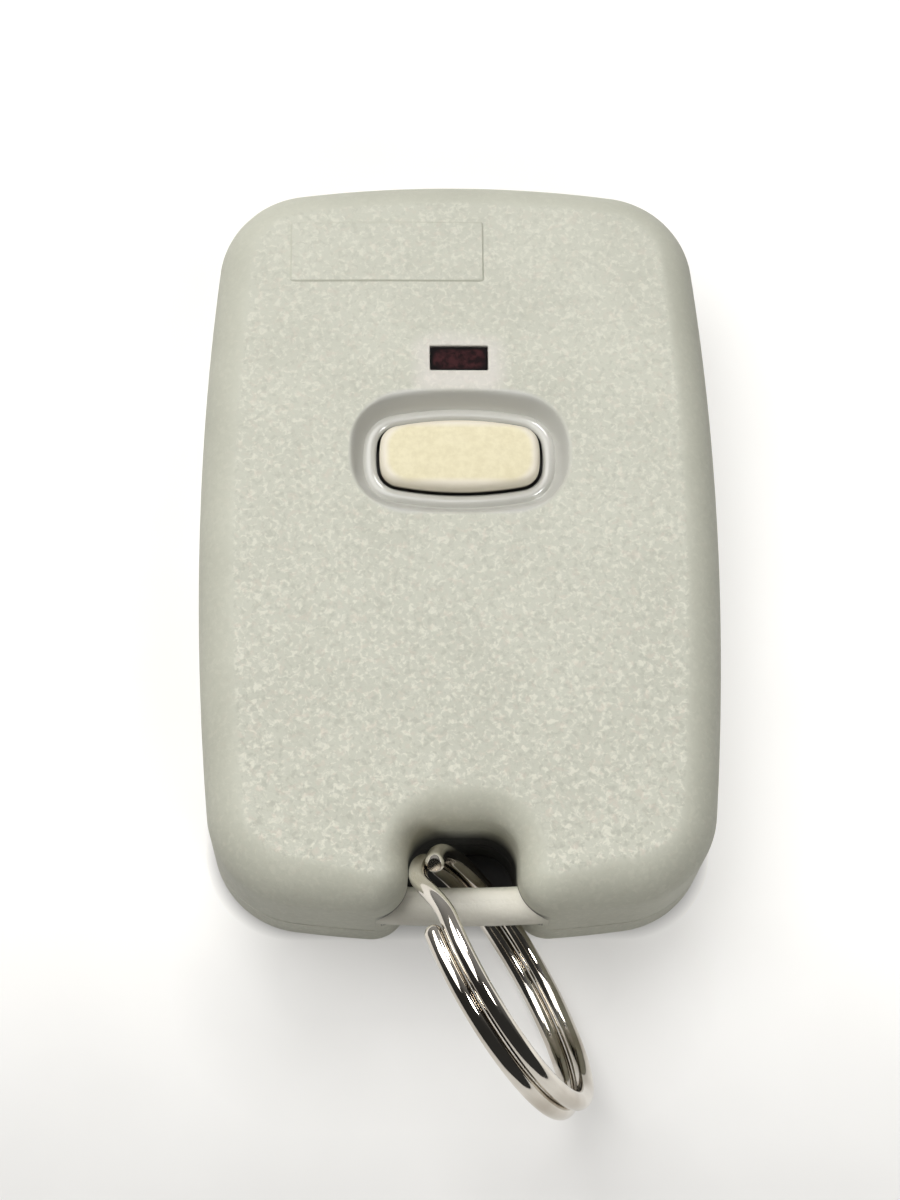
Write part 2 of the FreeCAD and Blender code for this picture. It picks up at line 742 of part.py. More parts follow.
def indicator_led():
    """A small lamp with a clear block on its base, under the window."""
    body = new_body("indicator_led")
    base = new_sketch(body, "lamp_base", height=BOARD_TOP)
    centred(base, "light_length", "light_width", along="window_place")
    pad(body, base, "light_height / 2")
    lamp = new_sketch(body, "lamp_block", height=BOARD_TOP + " + light_height / 2")
    rounded(lamp, "-light_length / 3", "light_length / 3", "window_place - light_width / 2",
            "window_place + light_width / 2", "light_width / 4")
    pad(body, lamp, "light_height / 2")
    return body


def tact_switch_body():
    body = new_body("tact_switch_body")
    case = new_sketch(body, "switch_case", height=BOARD_TOP)
    rounded(case, "-switch_size / 2", "switch_size / 2", "button_place - switch_size / 2",
            "button_place + switch_size / 2", "switch_corner")
    pad(body, case, "switch_height")
    bore(body, "plunger_well", "plunger_radius + plunger_gap", "0", "button_place",
         "%s - plunger_height - plunger_depth - button_travel - plunger_gap" % PLUNGER_TOP,
         PLUNGER_TOP)
    return body


def switch_plunger():
    body = new_body("switch_plunger")
    boss(body, "plunger", "plunger_radius", "0", "button_place",
         "%s - plunger_height - plunger_depth" % PLUNGER_TOP, PLUNGER_TOP)
    return body


def repeat_along_x(body, feature, count, pitch):
    """Repeats a feature in a straight row along X."""
    doc.recompute()
    row = body.newObject("PartDesign::LinearPattern", feature.Name + "_row")
    row.Originals = [feature]
    axis = [item for item in body.Origin.OriginFeatures if item.Role == "X_Axis"]
    row.Direction = (axis[0], [""])
    bind(row, "Length", "%d * %s" % (count - 1, pitch))
    row.Occurrences = count
    body.Tip = row
    doc.recompute()
    return row


def dip_switch_body():
    """The housing of the code switch, hung below the board, with a slot for each lever."""
    body = new_body("dip_switch_body")
    case = new_sketch(body, "code_case", height="board_bottom - code_height")
    centred(case, "%d * code_pitch + code_margin" % LEVER_COUNT, "code_depth",
            along="code_place")
    pad(body, case, "code_height")
    slot = new_sketch(body, "lever_slot", height="board_bottom - code_height")
    centred(slot, "lever_width + 2 * lever_gap", "lever_length + lever_travel + 2 * lever_gap",
            "-%d / 2 * code_pitch" % (LEVER_COUNT - 1), "code_place")
    cut = pocket(body, slot, "lever_root + lever_gap", up=True)
    repeat_along_x(body, cut, LEVER_COUNT, "code_pitch")
    return body


def dip_lever(index):
    """One slide lever of the code switch, resting at the end away from the window."""
    body = new_body("dip_lever_%d" % (index + 1))
    grip = new_sketch(body, body.Name + "_grip", height="-lever_root - lever_proud")
    centred(grip, "lever_width", "lever_length")
    pad(body, grip, "lever_root + lever_proud")
    bind(body, ".Placement.Base.x", "(%d - %d / 2) * code_pitch" % (index, LEVER_COUNT - 1))
    bind(body, ".Placement.Base.y", "code_place - lever_travel / 2")
    bind(body, ".Placement.Base.z", "board_bottom - code_height + lever_root")
    return body


def gull_wings(name, count, pitch, width, side, rise, across, along):
    """Makes two rows of bent leads that come out of a chip and lie on the board."""
    body = new_body(name)
    profile = new_sketch(body, name + "_profile", "YZ_Plane",
                         "%s - %d / 2 * %s - %s / 2" % (across, count - 1, pitch, width))
    level = "board_bottom - %s" % rise
    for sign in (1, -1):
        near = "%s + %d * (%s)" % (along, sign, side)
        shoulder = "%s + %d * (%s + lead_reach / 3)" % (along, sign, side)
        bend = "%s + %d * (%s + lead_reach / 3 - lead_thickness)" % (along, sign, side)
        toe = "%s + %d * (%s + lead_reach)" % (along, sign, side)
        polygon(profile, [
            (near, level),
            (shoulder, level),
            (shoulder, "board_bottom - lead_thickness"),
            (toe, "board_bottom - lead_thickness"),
            (toe, "board_bottom"),
            (bend, "board_bottom"),
            (bend, level + " + lead_thickness"),
            (near, level + " + lead_thickness"),
        ])
    lead = pad(body, profile, width)
    repeat_along_x(body, lead, count, pitch)
    return body


def encoder_chip():
    """The coding chip, with a round notch that marks its first lead."""
    body = new_body("encoder_chip")
    case = new_sketch(body, "chip_case", height="board_bottom - chip_lift - chip_height")
    centred(case, "chip_length", "chip_depth", "-chip_across", "chip_place")
    pad(body, case, "chip_height")
    mark = new_sketch(body, "chip_key", height="board_bottom - chip_lift - chip_height")
    circle(mark, "chip_depth / 8", "-chip_across - chip_length / 2", "chip_place")
    pocket(body, mark, "chip_height / 6", up=True)
    return body


def chip_block(name, length, width, tall, places):
    """Makes small board chips that share one size, each a separate solid."""
    body = new_body(name)
    sketch = new_sketch(body, name + "_outlines", height="board_bottom - " + tall)
    for across, along in places:
        centred(sketch, length, width, across, along)
    pad(body, sketch, tall)
    return body


def trimmer_body():
    body = new_body("trimmer_body")
    case = new_sketch(body, "trimmer_case", height="board_bottom - trimmer_height")
    rounded(case, "trimmer_across - trimmer_size / 2", "trimmer_across + trimmer_size / 2",
            "trimmer_place - trimmer_size / 2", "trimmer_place + trimmer_size / 2",
            "trimmer_size / 8")
    pad(body, case, "trimmer_height")
    return body


def trimmer_rotor():
    """The turning plate of the trimmer, with its screwdriver slot."""
    body = new_body("trimmer_rotor")
    plate = new_sketch(body, "rotor_plate", height="-rotor_height")
    circle(plate, "rotor_radius")
    pad(body, plate, "rotor_height")
    slot = new_sketch(body, "rotor_slot_cut", height="-rotor_height")
    centred(slot, "rotor_slot", "3 * rotor_radius")
    pocket(body, slot, "rotor_height / 2", up=True)
    bind(body, ".Placement.Base.x", "trimmer_across")
    bind(body, ".Placement.Base.y", "trimmer_place")
    bind(body, ".Placement.Base.z", "board_bottom - trimmer_height")
    return body


def battery():
    """A twelve volt cell lying across the case, with its nub on the right."""
    body = new_body("battery")
    can = new_sketch(body, "battery_can", "YZ_Plane", "-battery_length / 2 - nub_length / 2")
    circle(can, "battery_radius", "-battery_place", BATTERY_LEVEL)
    drum = pad(body, can, "battery_length")
    doc.recompute()
    rims = edges_where(drum, lambda edge: edge.BoundBox.XLength < LEVEL_TOLERANCE)
    bevel(body, drum, rims, "battery_edge", "battery_edges")
    nub = new_sketch(body, "battery_nub", "YZ_Plane", "battery_length / 2 - nub_length / 2")
    circle(nub, "nub_radius", "-battery_place", BATTERY_LEVEL)
    pad(body, nub, "nub_length")
    return body


def positive_contact():
    """A flat strip that meets the nub, with a foot below the board."""
    body = new_body("positive_contact")
    plate = new_sketch(body, "plus_plate", height=CONTACT_BASE)
    rectangle(plate, CELL_END, CELL_END + " + contact_thickness",
              "-battery_place - contact_width / 2", "-board_low_edge - contact_gap")
    pad(body, plate, "contact_height")
    foot = new_sketch(body, "plus_foot", height="board_bottom - contact_thickness")
    rectangle(foot, CELL_END, CELL_END + " + contact_foot / 2",
              "-board_low_edge - 2 * contact_gap", "-board_low_edge + contact_foot - contact_gap")
    pad(body, foot, "contact_thickness")
    return body


def negative_contact():
    """A folded leaf that presses on the flat end of the cell."""
    body = new_body("negative_contact")
    leaf = new_sketch(body, "minus_leaf", height=CONTACT_BASE)
    face = "-(%s)" % CELL_END
    back = "%s - spring_reach" % face
    low = "-battery_place - contact_width / 2"
    polygon(leaf, [
        (back + " - contact_thickness", low + " - contact_thickness"),
        (back + " + contact_thickness / 2", low + " - contact_thickness"),
        (face, "-battery_place - contact_width / 8"),
        (face, "-battery_place + contact_width / 8"),
        (back + " + 1.5 * contact_thickness", "-battery_place + contact_width / 2"),
        (back + " + contact_thickness / 2",
         "-battery_place + contact_width / 2 - contact_thickness / 2"),
        (face + " - contact_thickness",
         "-battery_place + contact_width / 8 - contact_thickness / 4"),
        (face + " - contact_thickness",
         "-battery_place - contact_width / 8 + contact_thickness / 4"),
        (back, low),
        (back, "-board_low_edge - contact_gap"),
        (back + " - contact_thickness", "-board_low_edge - contact_gap"),
    ])
    pad(body, leaf, "contact_height")
    foot = new_sketch(body, "minus_foot", height="board_bottom - contact_thickness")
    rectangle(foot, back + " - contact_thickness", back + " + contact_foot / 2",
              "-board_low_edge - 2 * contact_gap", "-board_low_edge + contact_foot - contact_gap")
    pad(body, foot, "contact_thickness")
    return body


def case_screw():
    """A small self-tapping screw with a flat head and a cross recess."""
    body = new_body("case_screw")
    profile = new_sketch(body, "screw_profile", "XZ_Plane")
    head = "screw_sink + screw_head_height"
    tip = "screw_sink + screw_length"
    polygon(profile, [("0", "screw_sink"), ("screw_head_radius", "screw_sink"),
                      ("screw_head_radius", head), ("screw_radius", head),
                      ("screw_radius", tip + " - 2 * screw_radius"),
                      ("screw_radius / 4", tip), ("0", tip)])
    turned = body.newObject("PartDesign::Revolution", "screw_turned")
    turned.Profile = profile
    turned.ReferenceAxis = (profile, ["V_Axis"])
    turned.Angle = 360
    doc.recompute()
    cross = new_sketch(body, "screw_cross", height="screw_sink")
    arm = "cross_reach"
    slim = "cross_half_width"
    polygon(cross, [(slim, slim), (arm, slim), (arm, "-" + slim), (slim, "-" + slim),
                    (slim, "-" + arm), ("-" + slim, "-" + arm), ("-" + slim, "-" + slim),
                    ("-" + arm, "-" + slim), ("-" + arm, slim), ("-" + slim, slim),
                    ("-" + slim, arm), (slim, arm)])
    pocket(body, cross, "cross_depth", up=True)
    bind(body, ".Placement.Base.y", "-screw_place")
    return body


# Pieces that follow a path in space

def bent_path(points, bends):
    """Joins points by straight runs, with an arc of a given radius at each inner point."""
    edges = []
    last = points[0]
    for index in range(1, len(points) - 1):
        corner = points[index]
        back = (points[index - 1] - corner).normalize()
        ahead = (points[index + 1] - corner).normalize()
        half = back.getAngle(ahead) / 2
        cut = bends[index - 1] / math.tan(half)
        start = corner + back * cut
        stop = corner + ahead * cut
        towards = (back + ahead).normalize()
        middle = corner + towards * (bends[index - 1] / math.sin(half) - bends[index - 1])
        edges.append(Part.LineSegment(last, start).toShape())
        edges.append(Part.Arc(start, middle, stop).toShape())
        last = stop
    edges.append(Part.LineSegment(last, points[-1]).toShape())
    return Part.Wire(edges)


def antenna_loop():
    """A bent wire that stands on the board on two legs around its top end."""
    side, top, low = value("loop_across"), value("loop_top"), value("loop_low")
    foot, level = value(BOARD_TOP), value(BOARD_TOP + " + loop_lift")
    points = [Vector(-side, low, foot), Vector(-side, low, level), Vector(-side, top, level),
              Vector(side, top, level), Vector(side, low, level), Vector(side, low, foot)]
    bend = value("loop_bend")
    leg_bend = value("loop_wire")
    path = bent_path(points, [leg_bend, bend, bend, leg_bend])
    across = value("loop_wire")
    section = flattened(points[0], Vector(1, 0, 0), Vector(0, 1, 0), across, across)
    piece = doc.addObject("Part::Feature", "antenna_loop")
    piece.Label = "antenna_loop"
    piece.Shape = path.makePipeShell([section], True, False)
    return piece


def ring_frame():
    """Gives the middle of the key ring and its three directions from where it is held."""
    yaw, lean = math.radians(value("ring_yaw")), math.radians(value("ring_lean"))
    axle = Vector(math.cos(lean) * math.cos(yaw), math.cos(lean) * math.sin(yaw), math.sin(lean))
    level = axle.cross(Vector(0, 0, 1)).normalize()
    steep = axle.cross(level)
    reach = math.hypot(level.y, steep.y)
    outward = level * (level.y / reach) + steep * (steep.y / reach)
    held = Vector(value("ring_across"), -value("ring_along"), value("ring_up"))
    middle = held - outward * value("ring_radius")
    return middle, axle, outward, axle.cross(outward)


def biarc(start, start_way, stop, stop_way):
    """Joins two points with two arcs that meet tangentially and keep both end directions."""
    span = stop - start
    total = start_way + stop_way
    square = 2 * (1 - start_way.dot(stop_way))
    along = span.dot(total)
    reach = (math.sqrt(along ** 2 + square * span.dot(span)) - along) / square
    meet = ((start + start_way * reach) + (stop - stop_way * reach)) * 0.5
    return [Part.Arc(start, through(start, start_way, meet), meet).toShape(),
            Part.Arc(meet, through(stop, stop_way * -1, meet), stop).toShape()]


def through(start, way, stop):
    """Finds the middle of the arc that leaves a point in a direction and ends at another."""
    chord = stop - start
    angle = way.getAngle(chord)
    sideways = (chord - way * chord.dot(way)).normalize()
    across = (way * math.sin(angle) - sideways * math.cos(angle)).normalize()
    rise = chord.Length / 2 * math.tan(angle / 2)
    return start + chord * 0.5 + across * rise


def key_ring():
    """A split ring: two turns of flattened wire that change level next to their ends."""
    middle, axle, outward, side = ring_frame()
    radius = value("ring_radius")
    step = value("(ring_wire_axial + ring_coil_gap) / 2")
    split = math.radians(value("ring_split"))
    offset = math.radians(value("ring_turn"))

    def at(turn, level):
        turn = turn + offset
        spoke = outward * math.cos(turn) + side * math.sin(turn)
        way = side * math.cos(turn) - outward * math.sin(turn)
        return middle + spoke * radius + axle * level, way

    edges = []
    for start, level in ((split, -step), (2 * math.pi + split, step)):
        stop = start + 2 * math.pi - 2 * split
        half = (start + stop) / 2
        for first, last in ((start, half), (half, stop)):
            edges.append(Part.Arc(at(first, level)[0], at((first + last) / 2, level)[0],
                                  at(last, level)[0]).toShape())
        if level < 0:
            near, near_way = at(stop, -step)
            centre_point, centre_way = at(2 * math.pi, 0)
            far, far_way = at(2 * math.pi + split, step)
            slope = axle * (step / (radius * split)) * 1.5
            climb = (centre_way + slope).normalize()
            edges += biarc(near, near_way, centre_point, climb)
            edges += biarc(centre_point, climb, far, far_way)
    path = Part.Wire(edges)
    first, way = at(split, -step)
    spoke = (first - middle - axle * -step).normalize()
    section = flattened(first, spoke, axle, value("ring_wire_radial"), value("ring_wire_axial"))
    piece = doc.addObject("Part::Feature", "key_ring")
    piece.Label = "key_ring"
    piece.Shape = path.makePipeShell([section], True, False)
    return piece


def flattened(place, one_way, other_way, width, height):
    """Draws a wire's section as a rectangle with bevelled corners."""
    half_width, half_height = width / 2, height / 2
    bevel_size = min(width, height) * (1 - math.sqrt(0.5))
    corners = []
    for u, v in ((1, 1), (-1, 1), (-1, -1), (1, -1)):
        ends = [(u * half_width, v * (half_height - bevel_size)),
                (u * (half_width - bevel_size), v * half_height)]
        corners += ends if u * v > 0 else ends[::-1]
    points = [place + one_way * u + other_way * v for u, v in corners]
    return Part.makePolygon(points + points[:1])


pieces = [front_case(), rear_cover(), button_cap(), light_window(), circuit_board(),
          indicator_led(), tact_switch_body(), switch_plunger(), dip_switch_body()]
pieces += [dip_lever(index) for index in range(LEVER_COUNT)]
pieces += [
    gull_wings("dip_leads", LEVER_COUNT, "code_pitch", "lead_width", "code_depth / 2",
               "code_lead_rise", "0", "code_place"),
    encoder_chip(),
    gull_wings("encoder_leads", CHIP_LEAD_COUNT, "chip_pitch", "chip_lead_width", "chip_depth / 2",
               "chip_lead_rise", "-chip_across", "chip_place"),
    chip_block("transistors", "transistor_length", "transistor_width", "transistor_height",
               [("1.3 * grid", "board_top_edge - 2.5 * grid"),
                ("1.3 * grid", "board_top_edge - 4.6 * grid")]),
    chip_block("resistors", "resistor_length", "resistor_width", "resistor_height",
               [("-4.5 * grid", "board_top_edge - 1.8 * grid"),
                ("-2.5 * grid", "board_top_edge - 1.8 * grid"),
                ("-0.6 * grid", "board_top_edge - 1.5 * grid"),
                ("3 * grid", "6 * grid"), ("5 * grid", "6 * grid"), ("3 * grid", "4.7 * grid")]),
    chip_block("capacitors", "capacitor_length", "capacitor_width", "capacitor_height",
               [("5 * grid", "4.7 * grid"), ("1.1 * grid", "6.1 * grid"),
                ("3.5 * grid", "-2.8 * grid"), ("-3.5 * grid", "-2.8 * grid")]),
    trimmer_body(), trimmer_rotor(), antenna_loop(), battery(), positive_contact(),
    negative_contact(), case_screw(), key_ring(),
]

doc.recompute()
for item in doc.Objects:
    if "Invalid" in item.State or "Error" in item.State:
        raise RuntimeError("%s did not rebuild" % item.Name)
for piece in pieces:
    if piece.Shape.isNull() or not piece.Shape.isValid():
        raise RuntimeError("%s has no sound shape" % piece.Label)
for piece in pieces:
    piece.Shape.exportStep("parts/%s.step" % piece.Label)
    print("%-18s %2d solid %9.2f mm3" % (piece.Label, len(piece.Shape.Solids), piece.Shape.Volume))
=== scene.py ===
import json
import math

import bmesh
import bpy
import numpy as np
from mathutils import Matrix, Vector
from mathutils.geometry import delaunay_2d_cdt

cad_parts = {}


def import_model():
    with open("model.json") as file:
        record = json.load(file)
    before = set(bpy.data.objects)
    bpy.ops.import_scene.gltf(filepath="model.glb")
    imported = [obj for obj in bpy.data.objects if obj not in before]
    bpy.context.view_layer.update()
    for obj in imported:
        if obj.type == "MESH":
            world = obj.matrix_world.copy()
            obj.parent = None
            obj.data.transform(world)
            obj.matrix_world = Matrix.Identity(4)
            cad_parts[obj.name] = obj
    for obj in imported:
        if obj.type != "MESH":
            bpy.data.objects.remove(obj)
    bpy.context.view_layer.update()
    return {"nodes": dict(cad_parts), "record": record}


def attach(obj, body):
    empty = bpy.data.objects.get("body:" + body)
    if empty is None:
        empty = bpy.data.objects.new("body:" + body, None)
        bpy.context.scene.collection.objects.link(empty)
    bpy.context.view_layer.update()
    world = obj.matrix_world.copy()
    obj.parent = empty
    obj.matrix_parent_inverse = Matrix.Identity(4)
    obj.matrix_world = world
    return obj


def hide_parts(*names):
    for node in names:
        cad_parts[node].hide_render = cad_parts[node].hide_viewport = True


# A one-button garage door remote on its back on a pale table. The sizes of the remote are in
# millimetres until a mesh is made, and MM turns them into metres. Lamps are placed in metres.

MM = 0.001
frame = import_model()

# Camera, fitted to the photograph's 900 x 1200 frame
FRAME_WIDTH, FRAME_HEIGHT = 900, 1200
FOCAL_PIXELS = 2400
SENSOR = 36.0
ELEVATION, AZIMUTH, ROLL = math.radians(69.9), math.radians(-5.0), math.radians(4.74)
DISTANCE = 179.24
AIM = Vector((0, 0, 6.0))
AIM_PIXEL = (458.0, 550.25)

# Front case
HALF_WIDTH, HALF_LENGTH, TOP = 19.0, 28.5, 12.7
SIDE_BULGE, END_BULGE, CORNER = 1.83, 2.0, 7.0
CROWN_ALONG, CROWN_ACROSS = 0.45, 0.3
PARTING, WALL, OUTLINE_INSET, FOOT_ROUND, CEILING_DROP = 3.6, 1.6, 0.01, 0.12, 0.8
RIM, RIM_START, RIM_STOP = 2.75, math.radians(13), math.radians(80)
SLOT_HALF, SLOT_REACH, SLOT_CORNER, MOUTH = 3.87, 22.0, 2.6, 2.5
SLOT_RIM, SLOT_MIDDLE, SLOT_RIM_REACH, SLOT_RIM_FADE = 1.95, -24.5, 5.5, 5
BAR_FRONT, BAR_BACK, BAR_LOW, BAR_TOP, BAR_ROUND = -28.45, -25.9, 4.8, 7.8, 1.1

# Button and its well
BUTTON_HALF_WIDTH, BUTTON_HALF_HEIGHT, BUTTON_Y = 5.875, 2.75, 5.2
BUTTON_SIDE_BULGE, BUTTON_END_BULGE, BUTTON_CORNER = 0.5, 0.75, 1.5
BUTTON_TOP, BUTTON_FOOT, BUTTON_ROUND = 12.45, 9.6, 0.52
BUTTON_CROWN_ACROSS, BUTTON_CROWN_ALONG = 0.16, 0.12
FLANGE, FLANGE_THICKNESS = 0.7, 0.6
BUTTON_GAP, COLLAR, SLOPE = 0.24, 0.91, 0.95
WELL_FLOOR, WELL_BASE, BEAD, BEAD_EASE = 11.1, 9.7, 0.3, 0.02
HOLE_RISE, WELL_BASE_STEP = 0.18, 0.15
WELL_BLEND, WELL_EDGE_BLEND, WELL_REACH = 0.3, 0.34, 4

# Window and bare plate
WINDOW_HALF_WIDTH, WINDOW_HALF_HEIGHT, WINDOW_Y = 2.15, 1.0, 12.7
WINDOW_CORNER, WINDOW_LIP, WINDOW_SINK = 0.12, 0.07, 0.06
PLATE = (-12.5, 1.9, 19.1, 24.1)
PLATE_PROUD, PLATE_RAMP, PLATE_CORNER = 0.1, 0.12, 0.35

# Key ring
RING_RADIUS = 9.6
RING_HELD = Vector((-1.28, -24.42, 8.44))
RING_YAW, RING_LEAN = math.radians(27.2), math.radians(19.7)
RING_SPLIT, RING_TURN = math.radians(18.0), math.radians(58.0)
WIRE_RADIAL, WIRE_AXIAL, WIRE_ROUND, COIL_PITCH = 1.3, 1.24, 0.585, 1.32
WIRE_TIP, TIP_SHRINK = 0.16, 0.28

# Spacing of the mesh points: along outlines, with finer corners, in the grids of surfaces,
# round bends, across the rim's crease, and on lines out from the button
OUTLINE_STEP, BUTTON_STEP, WINDOW_STEP, PLATE_STEP = 0.45, 0.25, 0.3, 0.35
CASE_CORNER_SHARE, BUTTON_CORNER_SHARE = 0.45, 0.6
FACE_STEP, BUTTON_FACE_STEP, INSIDE_STEP = 0.62, 0.3, 2.0
ROUND_STEPS, RING_STEPS, WIRE_CORNER_STEPS = 10, 420, 6
CREASE_STEP = 0.16
BEAD_FROM, BEAD_TO, SLOPE_FROM, SLOPE_TO, WELL_RINGS = 0.27, 1.18, 1.28, 2.9, 15

# Room that loose mesh points leave beside lines, on the outer face and inside
MOUTH_CLEAR, CREASE_CLEAR, RIM_CLEAR, WELL_CLEAR = 0.15, 0.02, 0.4, 0.2
WINDOW_CLEAR, PLATE_CLEAR, BUTTON_CLEAR = 0.3, 0.35, 0.12
INSIDE_EDGE_CLEAR, INSIDE_WELL_CLEAR, INSIDE_WINDOW_CLEAR = 0.8, 0.7, 0.5
MERGE_DISTANCE, INSIDE_TRIANGLES = 1e-7, 1

# Table and light: places and sizes in metres, strengths of lamps in watts
WORLD_NEAR, WORLD_FAR = 0.035, 0.34
TABLE_HALF, TABLE_GLOW = 1.6, 0.6
CEILING_PLACE, CEILING_SIZE, CEILING_WATTS = (-0.22, 0.19, 0.58), 0.5, 3.85
FILL_PLACE, FILL_SIZE, FILL_WATTS = (0.25, -0.45, 0.4), 0.2, 0.85
GLOSS_PLACES = {"far_gloss": (0.14, 0.31, 0.38), "right_gloss": (0.22, -0.03, 0.5)}
GLOSS_SIZE, GLOSS_WATTS = 0.1, 1.1


# Outlines

def arc_points(x, y, radius, start, stop, step):
    """Points of an arc, without its last one."""
    count = max(2, int(round(abs(stop - start) * radius / step)))
    turns = np.linspace(start, stop, count, endpoint=False)
    return np.stack([x + radius * np.cos(turns), y + radius * np.sin(turns)], 1)


def line_points(start, stop, step):
    """Points of a straight line, without its last one."""
    count = max(1, int(round(math.dist(start, stop) / step)))
    share = np.linspace(0, 1, count, endpoint=False)[:, None]
    return np.array(start) * (1 - share) + np.array(stop) * share


def barrel_arcs(half_width, half_length, side_bulge, end_bulge, corner):
    """Centres, radii and turns of the arcs of a rounded rectangle with bulging sides."""
    side = (half_length ** 2 + side_bulge ** 2) / (2 * side_bulge)
    end = (half_width ** 2 + end_bulge ** 2) / (2 * end_bulge)
    side_x, end_y = half_width - side, half_length - end
    reach = math.hypot(side_x, end_y)
    turn = math.acos(((side - corner) ** 2 + reach ** 2 - (end - corner) ** 2)
                     / (2 * (side - corner) * reach))
    low = math.atan2(end_y, -side_x) + turn
    corner_x = side_x + (side - corner) * math.cos(low)
    corner_y = (side - corner) * math.sin(low)
    high = math.atan2(corner_y - end_y, corner_x)
    return side, end, side_x, end_y, corner_x, corner_y, low, high


def button_outline():
    """The button's outline, a rounded rectangle with bulging sides, anticlockwise."""
    side, end, side_x, end_y, corner_x, corner_y, low, high = barrel_arcs(
        BUTTON_HALF_WIDTH, BUTTON_HALF_HEIGHT, BUTTON_SIDE_BULGE, BUTTON_END_BULGE,
        BUTTON_CORNER)
    corner, step, pi = BUTTON_CORNER, BUTTON_STEP, math.pi
    fine = step * BUTTON_CORNER_SHARE
    parts = [
        arc_points(side_x, 0, side, -low, low, step),
        arc_points(corner_x, corner_y, corner, low, high, fine),
        arc_points(0, end_y, end, high, pi - high, step),
        arc_points(-corner_x, corner_y, corner, pi - high, pi - low, fine),
        arc_points(-side_x, 0, side, pi - low, pi + low, step),
        arc_points(-corner_x, -corner_y, corner, pi + low, pi + high, fine),
        arc_points(0, -end_y, end, pi + high, 2 * pi - high, step),
        arc_points(corner_x, -corner_y, corner, 2 * pi - high, 2 * pi - low, fine),
    ]
    return np.concatenate(parts) + np.array([0, BUTTON_Y])


def case_outline(inset):
    """The case outline with the key ring notch, anticlockwise, moved inwards by an inset."""
    side, end, side_x, end_y, corner_x, corner_y, low, high = barrel_arcs(
        HALF_WIDTH, HALF_LENGTH, SIDE_BULGE, END_BULGE, CORNER)
    side, end, corner = side - inset, end - inset, CORNER - inset
    slot, mouth, bend = SLOT_HALF + inset, MOUTH - inset, SLOT_CORNER + inset
    mouth_y = -end_y - math.sqrt((end - mouth) ** 2 - (slot + mouth) ** 2)
    lip = math.atan2(mouth_y + end_y, slot + mouth)
    slot_top = inset - SLOT_REACH
    step, pi = OUTLINE_STEP, math.pi
    fine = step * CASE_CORNER_SHARE
    parts = [
        arc_points(side_x, 0, side, -low, low, step),
        arc_points(corner_x, corner_y, corner, low, high, fine),
        arc_points(0, end_y, end, high, pi - high, step),
        arc_points(-corner_x, corner_y, corner, pi - high, pi - low, fine),
        arc_points(-side_x, 0, side, pi - low, pi + low, step),
        arc_points(-corner_x, -corner_y, corner, pi + low, pi + high, fine),
        arc_points(0, -end_y, end, pi + high, pi - lip, step),
        arc_points(-slot - mouth, mouth_y, mouth, pi - lip - 2 * pi, 0, fine),
        line_points((-slot, mouth_y), (-slot, slot_top - bend), fine),
        arc_points(bend - slot, slot_top - bend, bend, pi, pi / 2, fine),
        line_points((bend - slot, slot_top), (slot - bend, slot_top), fine),
        arc_points(slot - bend, slot_top - bend, bend, pi / 2, 0, fine),
        line_points((slot, slot_top - bend), (slot, mouth_y), fine),
        arc_points(slot + mouth, mouth_y, mouth, pi, 2 * pi + lip, fine),
        arc_points(0, -end_y, end, lip, -high, step),
        arc_points(corner_x, -corner_y, corner, -high, -low, fine),
    ]
    return np.concatenate(parts)


def outward(points):
    """Unit normals of a closed anticlockwise outline."""
    ahead = np.roll(points, -1, 0) - np.roll(points, 1, 0)
    ahead /= np.linalg.norm(ahead, axis=1)[:, None]
    return np.stack([ahead[:, 1], -ahead[:, 0]], 1)


def distance_to(points, outline):
    """Distance of points from a closed outline, measured to its straight sides."""
    start, stop = outline, np.roll(outline, -1, 0)
    way = stop - start
    best = np.full(len(points), np.inf)
    for one, step in zip(start, way):
        share = np.clip(((points - one) @ step) / (step @ step), 0, 1)
        best = np.minimum(best, np.linalg.norm(points - one - share[:, None] * step, axis=1))
    return best


def inside(points, outline):
    """True for points inside a closed outline."""
    result = np.zeros(len(points), bool)
    x, y = points[:, 0], points[:, 1]
    for (ax, ay), (bx, by) in zip(outline, np.roll(outline, -1, 0)):
        if ay == by:
            continue
        crosses = ((ay > y) != (by > y)) & (x < (bx - ax) * (y - ay) / (by - ay) + ax)
        result ^= crosses
    return result


def rectangle(left, right, low, high, step, corner):
    """A rectangle with small round corners, anticlockwise."""
    middles = [(right - corner, low + corner, -0.5), (right - corner, high - corner, 0.0),
               (left + corner, high - corner, 0.5), (left + corner, low + corner, 1.0)]

    def corner_point(x, y, turn):
        """A point of the arc round a middle."""
        return x + corner * math.cos(turn), y + corner * math.sin(turn)

    parts = []
    for index, (x, y, turn) in enumerate(middles):
        turn *= math.pi
        stop = turn + math.pi / 2
        next_x, next_y, next_turn = middles[(index + 1) % 4]
        parts.append(arc_points(x, y, corner, turn, stop, corner / 3))
        parts.append(line_points(corner_point(x, y, stop),
                                 corner_point(next_x, next_y, next_turn * math.pi), step))
    return np.concatenate(parts)


def window_rectangle(grow, corner):
    """The window's edge, grown on all sides."""
    return rectangle(-WINDOW_HALF_WIDTH - grow, WINDOW_HALF_WIDTH + grow,
                     WINDOW_Y - WINDOW_HALF_HEIGHT - grow,
                     WINDOW_Y + WINDOW_HALF_HEIGHT + grow, WINDOW_STEP, corner)


def plate_rectangle(grow):
    """The bare plate's edge, grown on all sides."""
    left, right, low, high = PLATE
    return rectangle(left - grow, right + grow, low - grow, high + grow, PLATE_STEP,
                     PLATE_CORNER + grow)


# Heights of the face

